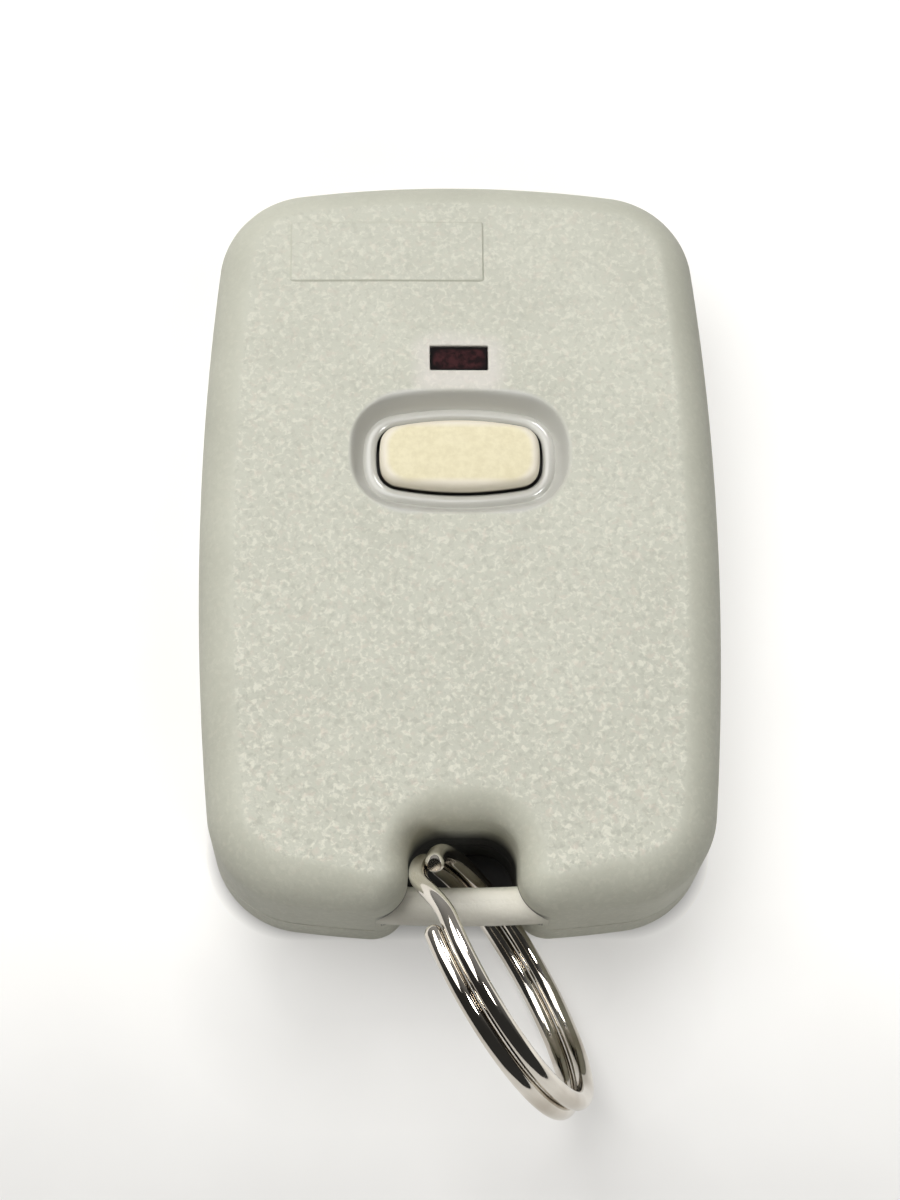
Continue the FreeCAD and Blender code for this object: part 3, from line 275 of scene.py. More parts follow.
CROWN_RADIUS_ALONG = (HALF_LENGTH ** 2 + CROWN_ALONG ** 2) / (2 * CROWN_ALONG)
CROWN_RADIUS_ACROSS = (HALF_WIDTH ** 2 + CROWN_ACROSS ** 2) / (2 * CROWN_ACROSS)
OUTLINE = case_outline(OUTLINE_INSET)
BUTTON = button_outline()


def ease(share):
    """A share of zero to one, with level ends."""
    return share * share * (3 - 2 * share)


def soft_min(a, b, blend):
    """The lower of two heights, with a round instead of a crease between them."""
    share = np.clip(0.5 + 0.5 * (b - a) / blend, 0, 1)
    return b * (1 - share) + a * share - blend * share * (1 - share)


def crown(points):
    """Height of the slightly domed face before its rim and its well."""
    x, y = points[:, 0], points[:, 1]
    return (TOP - CROWN_RADIUS_ALONG + np.sqrt(CROWN_RADIUS_ALONG ** 2 - y ** 2)
            - CROWN_RADIUS_ACROSS + np.sqrt(CROWN_RADIUS_ACROSS ** 2 - x ** 2))


def rim_drop(points, depth):
    """How far the rim lies below the face at points a depth in from the outline.

    The rim leaves the face with a slight crease, turns on down to the side wall, and is
    narrower round the key ring slot."""
    from_slot = np.hypot(points[:, 0], points[:, 1] - SLOT_MIDDLE)
    share = np.clip((from_slot - SLOT_RIM_REACH) / SLOT_RIM_FADE, 0, 1)
    width = SLOT_RIM + (RIM - SLOT_RIM) * share
    radius = width / (math.sin(RIM_STOP) - math.sin(RIM_START))
    left = np.clip(width - depth, 0, width)
    turn = np.arcsin(np.clip(math.sin(RIM_START) + left / radius, 0, 1))
    return np.where(left > 0, radius * (math.cos(RIM_START) - np.cos(turn)), 0.0)


def well_height(away):
    """Height of the button's well at a distance out from the button."""
    middle = BUTTON_GAP + COLLAR / 2
    across = np.clip((away - middle) / (COLLAR / 2 + BEAD_EASE), -1, 1)
    bead = WELL_FLOOR + BEAD * np.sqrt(1 - across ** 2)
    start = BUTTON_GAP + COLLAR
    wall = WELL_FLOOR + (away - start) * (TOP - WELL_FLOOR) / SLOPE
    return -soft_min(-bead, -wall, WELL_BLEND)


def box_distance(points, left, right, low, high):
    """Signed distance from a rectangle, below zero inside it."""
    x = np.abs(points[:, 0] - (left + right) / 2) - (right - left) / 2
    y = np.abs(points[:, 1] - (low + high) / 2) - (high - low) / 2
    out = np.hypot(np.maximum(x, 0), np.maximum(y, 0))
    return out + np.minimum(np.maximum(x, y), 0)


def window_distance(points):
    """Signed distance from the window's edge."""
    return box_distance(points, -WINDOW_HALF_WIDTH, WINDOW_HALF_WIDTH,
                        WINDOW_Y - WINDOW_HALF_HEIGHT, WINDOW_Y + WINDOW_HALF_HEIGHT)


def face_height(points):
    """Height of the front case's outer face."""
    height = crown(points) - rim_drop(points, distance_to(points, OUTLINE))
    near = distance_to(points, BUTTON)
    well = soft_min(height, well_height(near), WELL_EDGE_BLEND)
    height = np.where(near < WELL_REACH, well, height)
    plate = box_distance(points, *PLATE)
    return height + PLATE_PROUD * ease(np.clip(0.5 - plate / PLATE_RAMP, 0, 1))


# Meshes

def new_object(name, bm, smooth_angle=35.0):
    """Turns a mesh in millimetres into an object in metres with smooth shading."""
    bmesh.ops.scale(bm, vec=(MM, MM, MM), verts=bm.verts)
    bmesh.ops.recalc_face_normals(bm, faces=bm.faces)
    limit = math.radians(smooth_angle)
    for face in bm.faces:
        face.smooth = True
    for edge in bm.edges:
        if len(edge.link_faces) == 2:
            edge.smooth = edge.calc_face_angle(0) < limit
    mesh = bpy.data.meshes.new(name)
    bm.to_mesh(mesh)
    bm.free()
    piece = bpy.data.objects.new(name, mesh)
    bpy.context.scene.collection.objects.link(piece)
    return piece


def ring(bm, points, heights):
    """Adds the vertices of a closed line at one height or at a height each."""
    heights = np.broadcast_to(heights, len(points))
    return [bm.verts.new((x, y, z)) for (x, y), z in zip(points, heights)]


def band(bm, one, two):
    """Joins two rings with as many points by quads."""
    count = len(one)
    for index in range(count):
        after = (index + 1) % count
        bm.faces.new((one[index], one[after], two[after], two[index]))


def cap(bm, edge, holes, inner_rings, grid, height):
    """Fills the space between an edge ring and hole rings with a fine surface of heights.

    Rings are lists of vertices already in the mesh, and inner rings are outlines."""
    verts, coords, loops = [], [], []
    for ring_verts in [edge] + holes:
        base = len(coords)
        coords += [Vector((v.co.x, v.co.y)) for v in ring_verts]
        verts += ring_verts
        count = len(ring_verts)
        loops += [(base + i, base + (i + 1) % count) for i in range(count)]
    for outline in inner_rings:
        base = len(coords)
        coords += [Vector(p) for p in outline]
        count = len(outline)
        loops += [(base + i, base + (i + 1) % count) for i in range(count)]
    coords += [Vector(p) for p in grid]
    fixed = len(verts)
    points = np.array([tuple(c) for c in coords[fixed:]]).reshape(-1, 2)
    verts += ring(bm, points, height(points))
    out = delaunay_2d_cdt(coords, loops, [], INSIDE_TRIANGLES, MERGE_DISTANCE)
    edge_outline = np.array([(v.co.x, v.co.y) for v in edge])
    hole_outlines = [np.array([(v.co.x, v.co.y) for v in hole]) for hole in holes]
    places = np.array([tuple(p) for p in out[0]])
    faces = np.array([f for f in out[2] if len(f) == 3])
    middles = places[faces].mean(1)
    keep = inside(middles, edge_outline)
    for hole in hole_outlines:
        keep &= ~inside(middles, hole)
    origin = [source[0] if source else None for source in out[3]]
    for face in faces[keep]:
        corners = [verts[origin[i]] for i in face if origin[i] is not None]
        if len(set(corners)) == 3:
            bm.faces.new(corners)


def hex_grid(step, left, right, low, high):
    """Evenly spaced points with every other row moved by half a step."""
    rows = np.arange(low, high, step * math.sqrt(3) / 2)
    points = []
    for index, y in enumerate(rows):
        xs = np.arange(left + (index % 2) * step / 2, right, step)
        points.append(np.stack([xs, np.full(len(xs), y)], 1))
    return np.concatenate(points)


def face_rings():
    """The lines that the outer face's mesh follows, and loose points along the rim's crease.

    A line round the whole outline would cross itself further in than the mouth's round."""
    normals = outward(OUTLINE)
    turns = np.linspace(0, math.pi / 2, ROUND_STEPS)[1:]
    insets = [RIM * (1 - math.cos(t)) for t in turns] + [RIM + CREASE_STEP]
    limit = MOUTH - MOUTH_CLEAR
    rings = [OUTLINE - normals * inset for inset in insets if inset < limit]
    crease = []
    for inset in insets[len(rings):]:
        points = OUTLINE - normals * inset
        crease.append(points[distance_to(points, OUTLINE) > inset - CREASE_CLEAR])
    steps = np.concatenate([np.linspace(BEAD_FROM, BEAD_TO, WELL_RINGS),
                            np.linspace(SLOPE_FROM, SLOPE_TO, WELL_RINGS)])
    button_normals = outward(BUTTON)
    rings += [BUTTON + button_normals * s for s in steps]
    rings += [plate_rectangle(share * PLATE_RAMP) for share in (-1, -0.5, 0, 0.5, 1)]
    return rings + [window_rectangle(WINDOW_LIP, WINDOW_CORNER + WINDOW_LIP)], crease


def face_grid(crease):
    """Points spread over the outer face, clear of the lines that its mesh follows."""
    grid = hex_grid(FACE_STEP, -HALF_WIDTH, HALF_WIDTH, -HALF_LENGTH, HALF_LENGTH)
    grid = grid[inside(grid, OUTLINE)]
    grid = grid[distance_to(grid, OUTLINE) > RIM + RIM_CLEAR]
    grid = np.concatenate([grid] + crease)
    grid = grid[(distance_to(grid, BUTTON) > SLOPE_TO + WELL_CLEAR) & ~inside(grid, BUTTON)]
    grid = grid[window_distance(grid) > WINDOW_CLEAR]
    return grid[np.abs(box_distance(grid, *PLATE)) > PLATE_CLEAR]


def ceiling_height(points):
    """Height of the front case's inside, which is lower round the button."""
    roof = crown(points) - WALL
    low = distance_to(points, BUTTON) < SLOPE_TO + WELL_BASE_STEP / 3
    return np.where(low, WELL_BASE, roof)


def ceiling_grid(edge):
    """Points spread over the front case's inside, clear of its edges."""
    grid = hex_grid(INSIDE_STEP, -HALF_WIDTH, HALF_WIDTH, -HALF_LENGTH, HALF_LENGTH)
    grid = grid[inside(grid, edge)]
    grid = grid[(distance_to(grid, edge) > INSIDE_EDGE_CLEAR) & ~inside(grid, BUTTON)]
    grid = grid[distance_to(grid, BUTTON) > SLOPE_TO + INSIDE_WELL_CLEAR]
    return grid[window_distance(grid) > INSIDE_WINDOW_CLEAR]


def front_shell():
    """The front case as one closed shell with a fine outer face and a plain inside."""
    bm = bmesh.new()
    normals, button_normals = outward(OUTLINE), outward(BUTTON)
    hole_outline = BUTTON + button_normals * BUTTON_GAP
    window_outline = window_rectangle(0, WINDOW_CORNER)
    rim_foot = crown(OUTLINE) - rim_drop(OUTLINE, np.zeros(len(OUTLINE)))
    edge = ring(bm, OUTLINE, rim_foot)
    hole = ring(bm, hole_outline, WELL_FLOOR + HOLE_RISE)
    window = ring(bm, window_outline, crown(window_outline) - WINDOW_SINK)
    rings, crease = face_rings()
    cap(bm, edge, [hole, window], rings, face_grid(crease), face_height)

    foot = PARTING + FOOT_ROUND
    inner_outline = OUTLINE - normals * WALL
    levels = [(OUTLINE, foot + (rim_foot - foot) * share) for share in (0.75, 0.5, 0.25)]
    levels += [(OUTLINE, foot), (OUTLINE - normals * FOOT_ROUND, PARTING),
               (inner_outline, PARTING),
               (inner_outline, crown(inner_outline) - WALL - CEILING_DROP)]
    last = edge
    for outline, level in levels:
        current = ring(bm, outline, level)
        band(bm, last, current)
        last = current
    hole_low = ring(bm, hole_outline, WELL_BASE)
    band(bm, hole, hole_low)
    window_low = ring(bm, window_outline, crown(window_outline) - WALL)
    band(bm, window, window_low)
    under_rings = [BUTTON + button_normals * s for s in (SLOPE_TO, SLOPE_TO + WELL_BASE_STEP)]
    cap(bm, last, [hole_low, window_low], under_rings, ceiling_grid(inner_outline),
        ceiling_height)
    shell = new_object("front_shell", bm)
    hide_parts("front_case")
    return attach(shell, "remote")


def button_height(points):
    """Height of the button's top: a low dome with a round edge."""
    across = (BUTTON_HALF_WIDTH ** 2 + BUTTON_CROWN_ACROSS ** 2) / (2 * BUTTON_CROWN_ACROSS)
    along = (BUTTON_HALF_HEIGHT ** 2 + BUTTON_CROWN_ALONG ** 2) / (2 * BUTTON_CROWN_ALONG)
    left = np.clip(BUTTON_ROUND - distance_to(points, BUTTON), 0, BUTTON_ROUND)
    drop = BUTTON_ROUND - np.sqrt(BUTTON_ROUND ** 2 - left ** 2)
    x, y = points[:, 0], points[:, 1] - BUTTON_Y
    return (BUTTON_TOP - across + np.sqrt(across ** 2 - x ** 2) - along
            + np.sqrt(along ** 2 - y ** 2) - drop)


def button_piece():
    """The cream button: a low pillow with round edges and a flange below."""
    bm = bmesh.new()
    normals = outward(BUTTON)
    turns = np.linspace(0, math.pi / 2, ROUND_STEPS)[1:]
    rings = [BUTTON - normals * BUTTON_ROUND * (1 - math.cos(t)) for t in turns]
    grid = hex_grid(BUTTON_FACE_STEP, -BUTTON_HALF_WIDTH, BUTTON_HALF_WIDTH,
                    BUTTON_Y - BUTTON_HALF_HEIGHT, BUTTON_Y + BUTTON_HALF_HEIGHT)
    grid = grid[inside(grid, rings[-1])]
    grid = grid[distance_to(grid, rings[-1]) > BUTTON_CLEAR]
    last = ring(bm, BUTTON, button_height(BUTTON))
    cap(bm, last, [], rings, grid, button_height)
    flange = BUTTON + normals * FLANGE
    for outline, level in ((BUTTON, BUTTON_FOOT), (flange, BUTTON_FOOT),
                           (flange, BUTTON_FOOT - FLANGE_THICKNESS)):
        current = ring(bm, outline, level)
        band(bm, last, current)
        last = current
    bm.faces.new(last)
    piece = new_object("button_pillow", bm, 40)
    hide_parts("button_cap")
    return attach(piece, "button")


def ring_directions():
    """The ring's axle, the way from its middle to the bar, and the way across both."""
    axle = Vector((math.cos(RING_LEAN) * math.cos(RING_YAW),
                   math.cos(RING_LEAN) * math.sin(RING_YAW), math.sin(RING_LEAN)))
    level = axle.cross(Vector((0, 0, 1))).normalized()
    steep = axle.cross(level)
    reach = math.hypot(level.y, steep.y)
    away = level * (level.y / reach) + steep * (steep.y / reach)
    return axle, away, axle.cross(away)


def split_ring():
    """Two turns of round wire that lie side by side and change place between their ends."""
    axle, away, side = ring_directions()
    middle = RING_HELD - away * RING_RADIUS
    first, last = RING_SPLIT, 4 * math.pi - RING_SPLIT
    section = wire_section()
    bm = bmesh.new()
    rings = []
    for index in range(RING_STEPS + 1):
        turn = first + (last - first) * index / RING_STEPS
        cross = (turn - 2 * math.pi + RING_SPLIT) / (2 * RING_SPLIT)
        cross = min(max(cross, 0), 1)
        level = (ease(cross) - 0.5) * COIL_PITCH
        angle = turn + RING_TURN
        spoke = away * math.cos(angle) + side * math.sin(angle)
        centre = middle + spoke * RING_RADIUS + axle * level
        reach = min(index, RING_STEPS - index) * (last - first) / RING_STEPS * RING_RADIUS
        shrink = 1 - TIP_SHRINK * (1 - min(reach / WIRE_TIP, 1)) ** 2
        rings.append([bm.verts.new(centre + spoke * u * shrink + axle * v * shrink)
                      for u, v in section])
    for one, two in zip(rings, rings[1:]):
        band(bm, one, two)
    bm.faces.new(rings[0])
    bm.faces.new(list(reversed(rings[-1])))
    piece = new_object("split_ring", bm, 50)
    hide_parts("key_ring")
    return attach(piece, "key_ring")


def wire_section():
    """Outline of the wire, very slightly flat on its four sides."""
    points = []
    half_u, half_v = WIRE_RADIAL / 2, WIRE_AXIAL / 2
    for index in range(4):
        turn = index * math.pi / 2
        middle_u = (half_u - WIRE_ROUND) * (1 if index in (0, 3) else -1)
        middle_v = (half_v - WIRE_ROUND) * (1 if index in (0, 1) else -1)
        for step in range(WIRE_CORNER_STEPS + 1):
            angle = turn + step / WIRE_CORNER_STEPS * math.pi / 2
            points.append((middle_u + WIRE_ROUND * math.cos(angle),
                           middle_v + WIRE_ROUND * math.sin(angle)))
    return points


# Materials

def srgb(red, green, blue):
    """Turns 0 to 255 screen colours into the shader's linear ones."""
    out = []
    for channel in (red, green, blue):
        share = channel / 255
        out.append(share / 12.92 if share <= 0.04045 else ((share + 0.055) / 1.055) ** 2.4)
    return (*out, 1.0)


# Values that materials share, and masks by their middle, half sizes and corner
CASE_IOR, GRAIN_DEPTH, REAR_GRAIN = 1.49, 0.09 * MM, 0.4
# Painted shade for the key ring slot's lower walls: its colour and how strongly it is mixed in
SLOT_SHADE_COLOUR, SLOT_SHADE_STRENGTH = srgb(15, 14, 12), 0.95
BUTTON_MASK = (0, BUTTON_Y), (BUTTON_HALF_WIDTH, BUTTON_HALF_HEIGHT), 2.3
LENS_MASK = (0, WINDOW_Y), (WINDOW_HALF_WIDTH, WINDOW_HALF_HEIGHT), 0.8
HALO_MASK = (0, 12.2), (2.9, 1.9), 1.0
TABLE_MASK = (0, 0), (HALF_WIDTH, HALF_LENGTH), CORNER
# Painted shadow on the table off the remote's lower end
LOWER_END_SHADOW_MASK = (-1, -31), (13, 4), 3.5

# Colour, darker colour and roughness, and for a metal also how deep its scratches and waves are
PLASTICS = {
    "lamp_clear": ((222, 214, 200), (205, 196, 182), 0.2),
    "black_plastic": ((38, 38, 40), (28, 28, 30), 0.5),
    "code_plastic": ((40, 66, 140), (32, 54, 120), 0.4),
    "white_plastic": ((236, 236, 230), (222, 222, 216), 0.4),
    "tan_ceramic": ((190, 160, 118), (172, 142, 102), 0.35),
    "battery_can": ((52, 52, 56), (40, 40, 44), 0.32),
}
METALS = {
    "tinned_metal": ((208, 208, 205), (180, 180, 178), 0.3),
    "brass": ((205, 172, 100), (180, 148, 84), 0.25),
    "copper_wire": ((205, 130, 88), (178, 104, 68), 0.28),
    "contact_metal": ((212, 210, 204), (186, 184, 180), 0.22),
    "screw_steel": ((190, 190, 186), (150, 150, 148), 0.3),
    "ring_nickel": ((222, 217, 208), (190, 182, 170), 0.07, 0.003, 0.06),
}


class Nodes:
    """Adds shader nodes to a new material and links them."""

    def __init__(self, name):
        self.material = bpy.data.materials.new(name)
        self.material.use_nodes = True
        self.tree = self.material.node_tree
        self.shader = self.tree.nodes["Principled BSDF"]
        self.output = self.tree.nodes["Material Output"]

    def add(self, kind, **values):
        """A new node with some of its properties set."""
        node = self.tree.nodes.new(kind)
        for name, value in values.items():
            setattr(node, name, value)
        return node

    def link(self, source, target):
        """Links an output to an input."""
        self.tree.links.new(source, target)

    def feed(self, value, target):
        """Sets an input to a number or a colour, or links an output to it."""
        if isinstance(value, (int, float, tuple)):
            target.default_value = value
        else:
            self.link(value, target)

    def place(self):
        """The point in the object's own frame, in metres."""
        return self.add("ShaderNodeTexCoord").outputs["Object"]

    def split(self, vector=None):
        """The x, y and z of a vector, or else of the point."""
        node = self.add("ShaderNodeSeparateXYZ")
        self.link(vector or self.place(), node.inputs[0])
        return node.outputs

    def noise(self, scale, detail=2.0, roughness=0.5, distortion=0.0, vector=None):
        """Soft noise of zero to one, mostly near a half."""
        node = self.add("ShaderNodeTexNoise")
        node.inputs["Scale"].default_value = scale
        node.inputs["Detail"].default_value = detail
        node.inputs["Roughness"].default_value = roughness
        node.inputs["Distortion"].default_value = distortion
        self.link(vector or self.place(), node.inputs["Vector"])
        return node.outputs["Fac"]

    def ramp(self, source, stops):
        """A colour for each value, between two stops of a value and its colour."""
        node = self.add("ShaderNodeValToRGB")
        elements = node.color_ramp.elements
        for element, (place, colour) in zip(elements, stops):
            element.position = place
            element.color = colour
        self.link(source, node.inputs["Fac"])
        return node.outputs["Color"]

    def spread(self, source, low, high, to_low=0.0, to_high=1.0):
        """Maps a range of values to another, and keeps to its ends outside the range."""
        node = self.add("ShaderNodeMapRange")
        values = (low, high, to_low, to_high)
        for name, value in zip(("From Min", "From Max", "To Min", "To Max"), values):
            node.inputs[name].default_value = value
        self.link(source, node.inputs["Value"])
        return node.outputs["Result"]

    def fade(self, source, full, none, most=1.0):
        """The most at one length, nothing at another, both in millimetres, and even between."""
        return self.spread(source, full * MM, none * MM, most, 0.0)

    def maths(self, operation, one, two=0.0):
        """One or two values put through an operation."""
        node = self.add("ShaderNodeMath", operation=operation)
        self.feed(one, node.inputs[0])
        self.feed(two, node.inputs[1])
        return node.outputs[0]

    def product(self, first, *others):
        """All values multiplied with each other."""
        for value in others:
            first = self.maths("MULTIPLY", first, value)
        return first

    def mix(self, share, one, two):
        """Mixes a share of the second colour into the first."""
        node = self.add("ShaderNodeMix", data_type="RGBA")
        for index, value in ((0, share), (6, one), (7, two)):
            self.feed(value, node.inputs[index])
        return node.outputs[2]

    def bump(self, height, distance, strength=1.0, normal=None):
        """A normal bent by a height, which is one at a distance in metres."""
        node = self.add("ShaderNodeBump")
        node.inputs["Distance"].default_value = distance
        self.feed(strength, node.inputs["Strength"])
        self.link(height, node.inputs["Height"])
        if normal is not None:
            self.link(normal, node.inputs["Normal"])
        return node.outputs["Normal"]

    def set(self, **values):
        """Feeds the principled shader's inputs, by their names in lower case."""
        for name, value in values.items():
            title = name.replace("_", " ").title().replace("Ior", "IOR")
            self.feed(value, self.shader.inputs[title])
        return self.material


def rounded_box(m, middle, half, corner, axes=(0, 1)):
    """Distance outside a round-cornered rectangle across two axes, in metres."""
    place = m.split()
    join = m.add("ShaderNodeCombineXYZ")
    for index, axis in enumerate(axes):
        away = m.maths("ABSOLUTE", m.maths("SUBTRACT", place[axis], middle[index] * MM))
        past = m.maths("SUBTRACT", away, (half[index] - corner) * MM)
        m.link(m.maths("MAXIMUM", past), join.inputs[index])
    length = m.add("ShaderNodeVectorMath", operation="LENGTH")
    m.link(join.outputs[0], length.inputs[0])
    return m.maths("SUBTRACT", length.outputs["Value"], corner * MM)


def grain(m, base, light, dark, amount):
    """Colour, height and roughness of a fine spark-eroded grain of a given strength."""
    place = m.place()
    fine = m.noise(4200, 3.0, 0.6, 0.3, place)
    coarse = m.noise(1700, 2.5, 0.6, 0.5, place)
    broad = m.noise(130, 2.0, 0.5, 0.0, place)
    specks = m.spread(m.noise(2300, 2.5, 0.6, 0.6, place), 0.5, 0.64)
    pits = m.spread(m.noise(2000, 2.0, 0.6, 0.4, place), 0.48, 0.34)
    rosy = m.spread(m.noise(1500, 2.0, 0.6, 0.5, place), 0.55, 0.7, 0.0, 0.4)
    colour = m.mix(m.spread(broad, 0.35, 0.65, 0.0, 0.3), base, dark)
    colour = m.mix(m.product(specks, amount, 0.75), colour, light)
    colour = m.mix(m.product(pits, amount, 0.7), colour, dark)
    colour = m.mix(m.product(rosy, amount), colour, srgb(214, 201, 185))
    height = m.maths("ADD", m.product(fine, 0.4), m.product(coarse, 0.9))
    return colour, height, m.spread(coarse, 0.3, 0.7, 0.5, 0.62)


def case_plastic(name, base, light, dark):
    """Grained plastic of the rear cover, with painted light on the bar and painted shade in the
    slot.
    """
    m = Nodes(name)
    colour, height, rough = grain(m, base, light, dark, REAR_GRAIN)
    # Painted light: the bar's top and front are painted paler
    colour = m.mix(m.product(bar_painted_light(m), 0.75), colour, srgb(238, 233, 220))
    # Painted shade: the key ring slot's lower walls are painted nearly black
    colour = m.mix(m.product(slot_shade(m), SLOT_SHADE_STRENGTH), colour, SLOT_SHADE_COLOUR)
    normal = m.bump(height, GRAIN_DEPTH, REAR_GRAIN)
    return m.set(base_color=colour, roughness=rough, normal=normal, ior=CASE_IOR)


def front_plastic(name, base, light, dark):
    """Grained front case, smooth in the well and round the window, with painted sheen and shade.
    """
    m = Nodes(name)
    amount = grain_amount(m)
    colour, height, rough = grain(m, base, light, dark, amount)
    halo = m.product(window_halo(m), 0.75)
    away = rounded_box(m, *BUTTON_MASK)
    dish = m.fade(away, 1.95, 2.3)
    # Painted shade: the hole's wall down in the button's gap is painted dark
    gap = m.product(m.fade(away, 0.5, 0.7, 0.95),
                    m.fade(m.split()[2], WELL_FLOOR + 0.02, WELL_FLOOR + 0.2))
    # Round the window the surface is smooth, and its paler colour there is a painted sheen
    colour = m.mix(m.product(halo, 0.7), colour, srgb(230, 222, 216))
    colour = m.mix(dish, colour, srgb(200, 199, 191))
    # Painted shade: a dark line along the crevice round the key ring bar
    colour = m.mix(m.product(bar_crevice_shade(m), 0.85), colour, srgb(38, 36, 32))
    colour = m.mix(gap, colour, srgb(18, 16, 13))
    # Painted shade: the key ring slot's lower walls are painted nearly black
    colour = m.mix(m.product(slot_shade(m), SLOT_SHADE_STRENGTH), colour, SLOT_SHADE_COLOUR)
    rough = m.maths("SUBTRACT", rough, m.product(dish, 0.4))
    smooth = m.maths("MAXIMUM", halo, dish)
    strength = m.product(amount, m.maths("SUBTRACT", 1.0, smooth))
    normal = m.bump(height, GRAIN_DEPTH, strength)
    return m.set(base_color=colour, roughness=rough, normal=normal, ior=CASE_IOR)


def grain_amount(m):
    """Strongest low on the flat face, weaker further up, and faint on the rim and the sides."""
    normal = m.add("ShaderNodeNewGeometry").outputs["Normal"]
    flat = m.spread(m.split(normal)[2], 0.965, 0.99, 0.25, 1.0)
    along = m.spread(m.split()[1], -HALF_LENGTH * MM, HALF_LENGTH * MM, 1.0, 0.5)
    return m.product(flat, along)


def window_halo(m):
    """One around the window and down to the well, and nothing elsewhere: a smooth zone with a
    painted sheen.
    """
    wobble = m.product(m.maths("SUBTRACT", m.noise(600, 1.0), 0.5), MM)
    return m.fade(m.maths("ADD", rounded_box(m, *HALO_MASK), wobble), -0.4, 1.0)


def bar_crevice_shade(m):
    """Painted shade: one in the thin gap where the case closes round the key ring bar."""
    middle = ((BAR_FRONT + BAR_BACK) / 2, (BAR_LOW + BAR_TOP) / 2)
    half = ((BAR_BACK - BAR_FRONT) / 2, (BAR_TOP - BAR_LOW) / 2)
    near = m.fade(rounded_box(m, middle, half, BAR_ROUND, (1, 2)), 0.16, 0.42)
    across = m.fade(m.maths("ABSOLUTE", m.split()[0]), 5.4, 6.2)
    return m.product(near, across)


def bar_painted_light(m):
    """Painted light: one on the top and front of the bar, which is painted paler as if more
    light fell there.
    """
    place = m.split()
    across = m.fade(m.maths("ABSOLUTE", place[0]), 5.0, 6.4)
    along = m.fade(place[1], BAR_BACK - 0.5, BAR_BACK - 0.1)
    high = m.fade(place[2], BAR_LOW + 1.4, BAR_LOW + 0.6)
    return m.product(across, along, high)


def slot_shade(m):
    """Painted shade: one low down on the walls of the key ring slot, which are painted nearly
    black.
    """
    place = m.split()
    across = m.fade(m.maths("ABSOLUTE", place[0]), 4.3, 4.8)
    behind = m.fade(place[1], BAR_BACK + 0.2, BAR_BACK - 0.05)
    before = m.fade(place[1], 0.1 - SLOT_REACH, 0.6 - SLOT_REACH)
    low = m.fade(place[2], 5.5, 8.0)
    return m.product(across, behind, before, low)


def button_plastic(name, base, shade, pale):
    """Cream plastic with a faint speckle, paler towards its edges, and painted shade on its
    sides in the gap.
    """
    m = Nodes(name)
    tint = m.mix(m.spread(m.noise(1900, 3.0, 0.6), 0.35, 0.65), base, shade)
    edge = m.spread(rounded_box(m, *BUTTON_MASK), -0.8 * MM, -0.4 * MM, 0.0, 0.8)
    tint = m.mix(edge, tint, pale)
    # Painted shade: the button's sides down in the gap are painted dark
    tint = m.mix(m.fade(m.split()[2], 11.2, 11.5, 0.96), tint, srgb(30, 27, 20))
    normal = m.bump(m.noise(2600, 2.0), 0.012 * MM, 0.6)
    return m.set(base_color=tint, roughness=m.spread(m.noise(900), 0.3, 0.7, 0.45, 0.55),
                 normal=normal, ior=1.5)


def lens_plastic(name):
    """Dark smoked lens, mottled, and black along its edge."""
    m = Nodes(name)
    tint = m.mix(m.spread(m.noise(1300, 3.0, 0.6), 0.4, 0.6), srgb(64, 33, 35), srgb(30, 14, 16))
    edge = m.spread(rounded_box(m, *LENS_MASK), -0.32 * MM, -0.16 * MM, 0.0, 0.9)
    tint = m.mix(edge, tint, srgb(10, 8, 8))
    normal = m.bump(m.noise(1200, 2.0), 0.006 * MM, 0.5)
    return m.set(base_color=tint, roughness=0.5, normal=normal, specular_ior_level=0.04)


def smooth_plastic(name, colour, shade, roughness):
    """Plain moulded plastic, slightly mottled."""
    m = Nodes(name)
    tint = m.mix(m.spread(m.noise(300, 3.0, 0.55), 0.3, 0.7), colour, shade)
    rough = m.spread(m.noise(900), 0.3, 0.7, roughness * 0.85, roughness * 1.15)
    normal = m.bump(m.noise(1800, 2.0), 0.012 * MM, 0.6)
    return m.set(base_color=tint, roughness=rough, normal=normal, ior=1.5)


def metal(name, colour, shade, roughness, scratch=0.004, wave=0.0):
    """Metal with fine scratches, and gentle waves if asked for, by depths in millimetres."""
    m = Nodes(name)
    fine = m.noise(3500, 2.0, 0.6)
    tint = m.mix(m.spread(m.noise(260, 2.0, 0.5), 0.35, 0.7), colour, shade)
    rough = m.spread(fine, 0.3, 0.7, roughness * 0.6, roughness * 1.4)
    normal = m.bump(fine, scratch * MM, 0.5)
    if wave:
        normal = m.bump(m.noise(300, 1.0, 0.4), wave * MM, 1.0, normal)
    return m.set(base_color=tint, metallic=1.0, roughness=rough, normal=normal)


def board_mask(name):
    """Green solder mask with fainter tracks below it."""
    m = Nodes(name)
    wave = m.add("ShaderNodeTexWave", wave_type="BANDS", bands_direction="DIAGONAL")
    wave.inputs["Scale"].default_value = 220
    wave.inputs["Distortion"].default_value = 3.0
    m.link(m.place(), wave.inputs["Vector"])
    tracks = m.ramp(wave.outputs["Fac"], [(0.45, (0, 0, 0, 1)), (0.55, (1, 1, 1, 1))])
    colour = m.mix(tracks, (0.008, 0.075, 0.03, 1), (0.02, 0.16, 0.06, 1))
    return m.set(base_color=colour, roughness=0.32, ior=1.5)


def dress(materials):
    """Gives every node of the CAD its material."""
    slots = {row["node"]: row["material_slot"] for row in frame["record"]["subparts"]}
    for name, node in frame["nodes"].items():
        node.data.materials.clear()
        node.data.materials.append(materials[slots[name]])


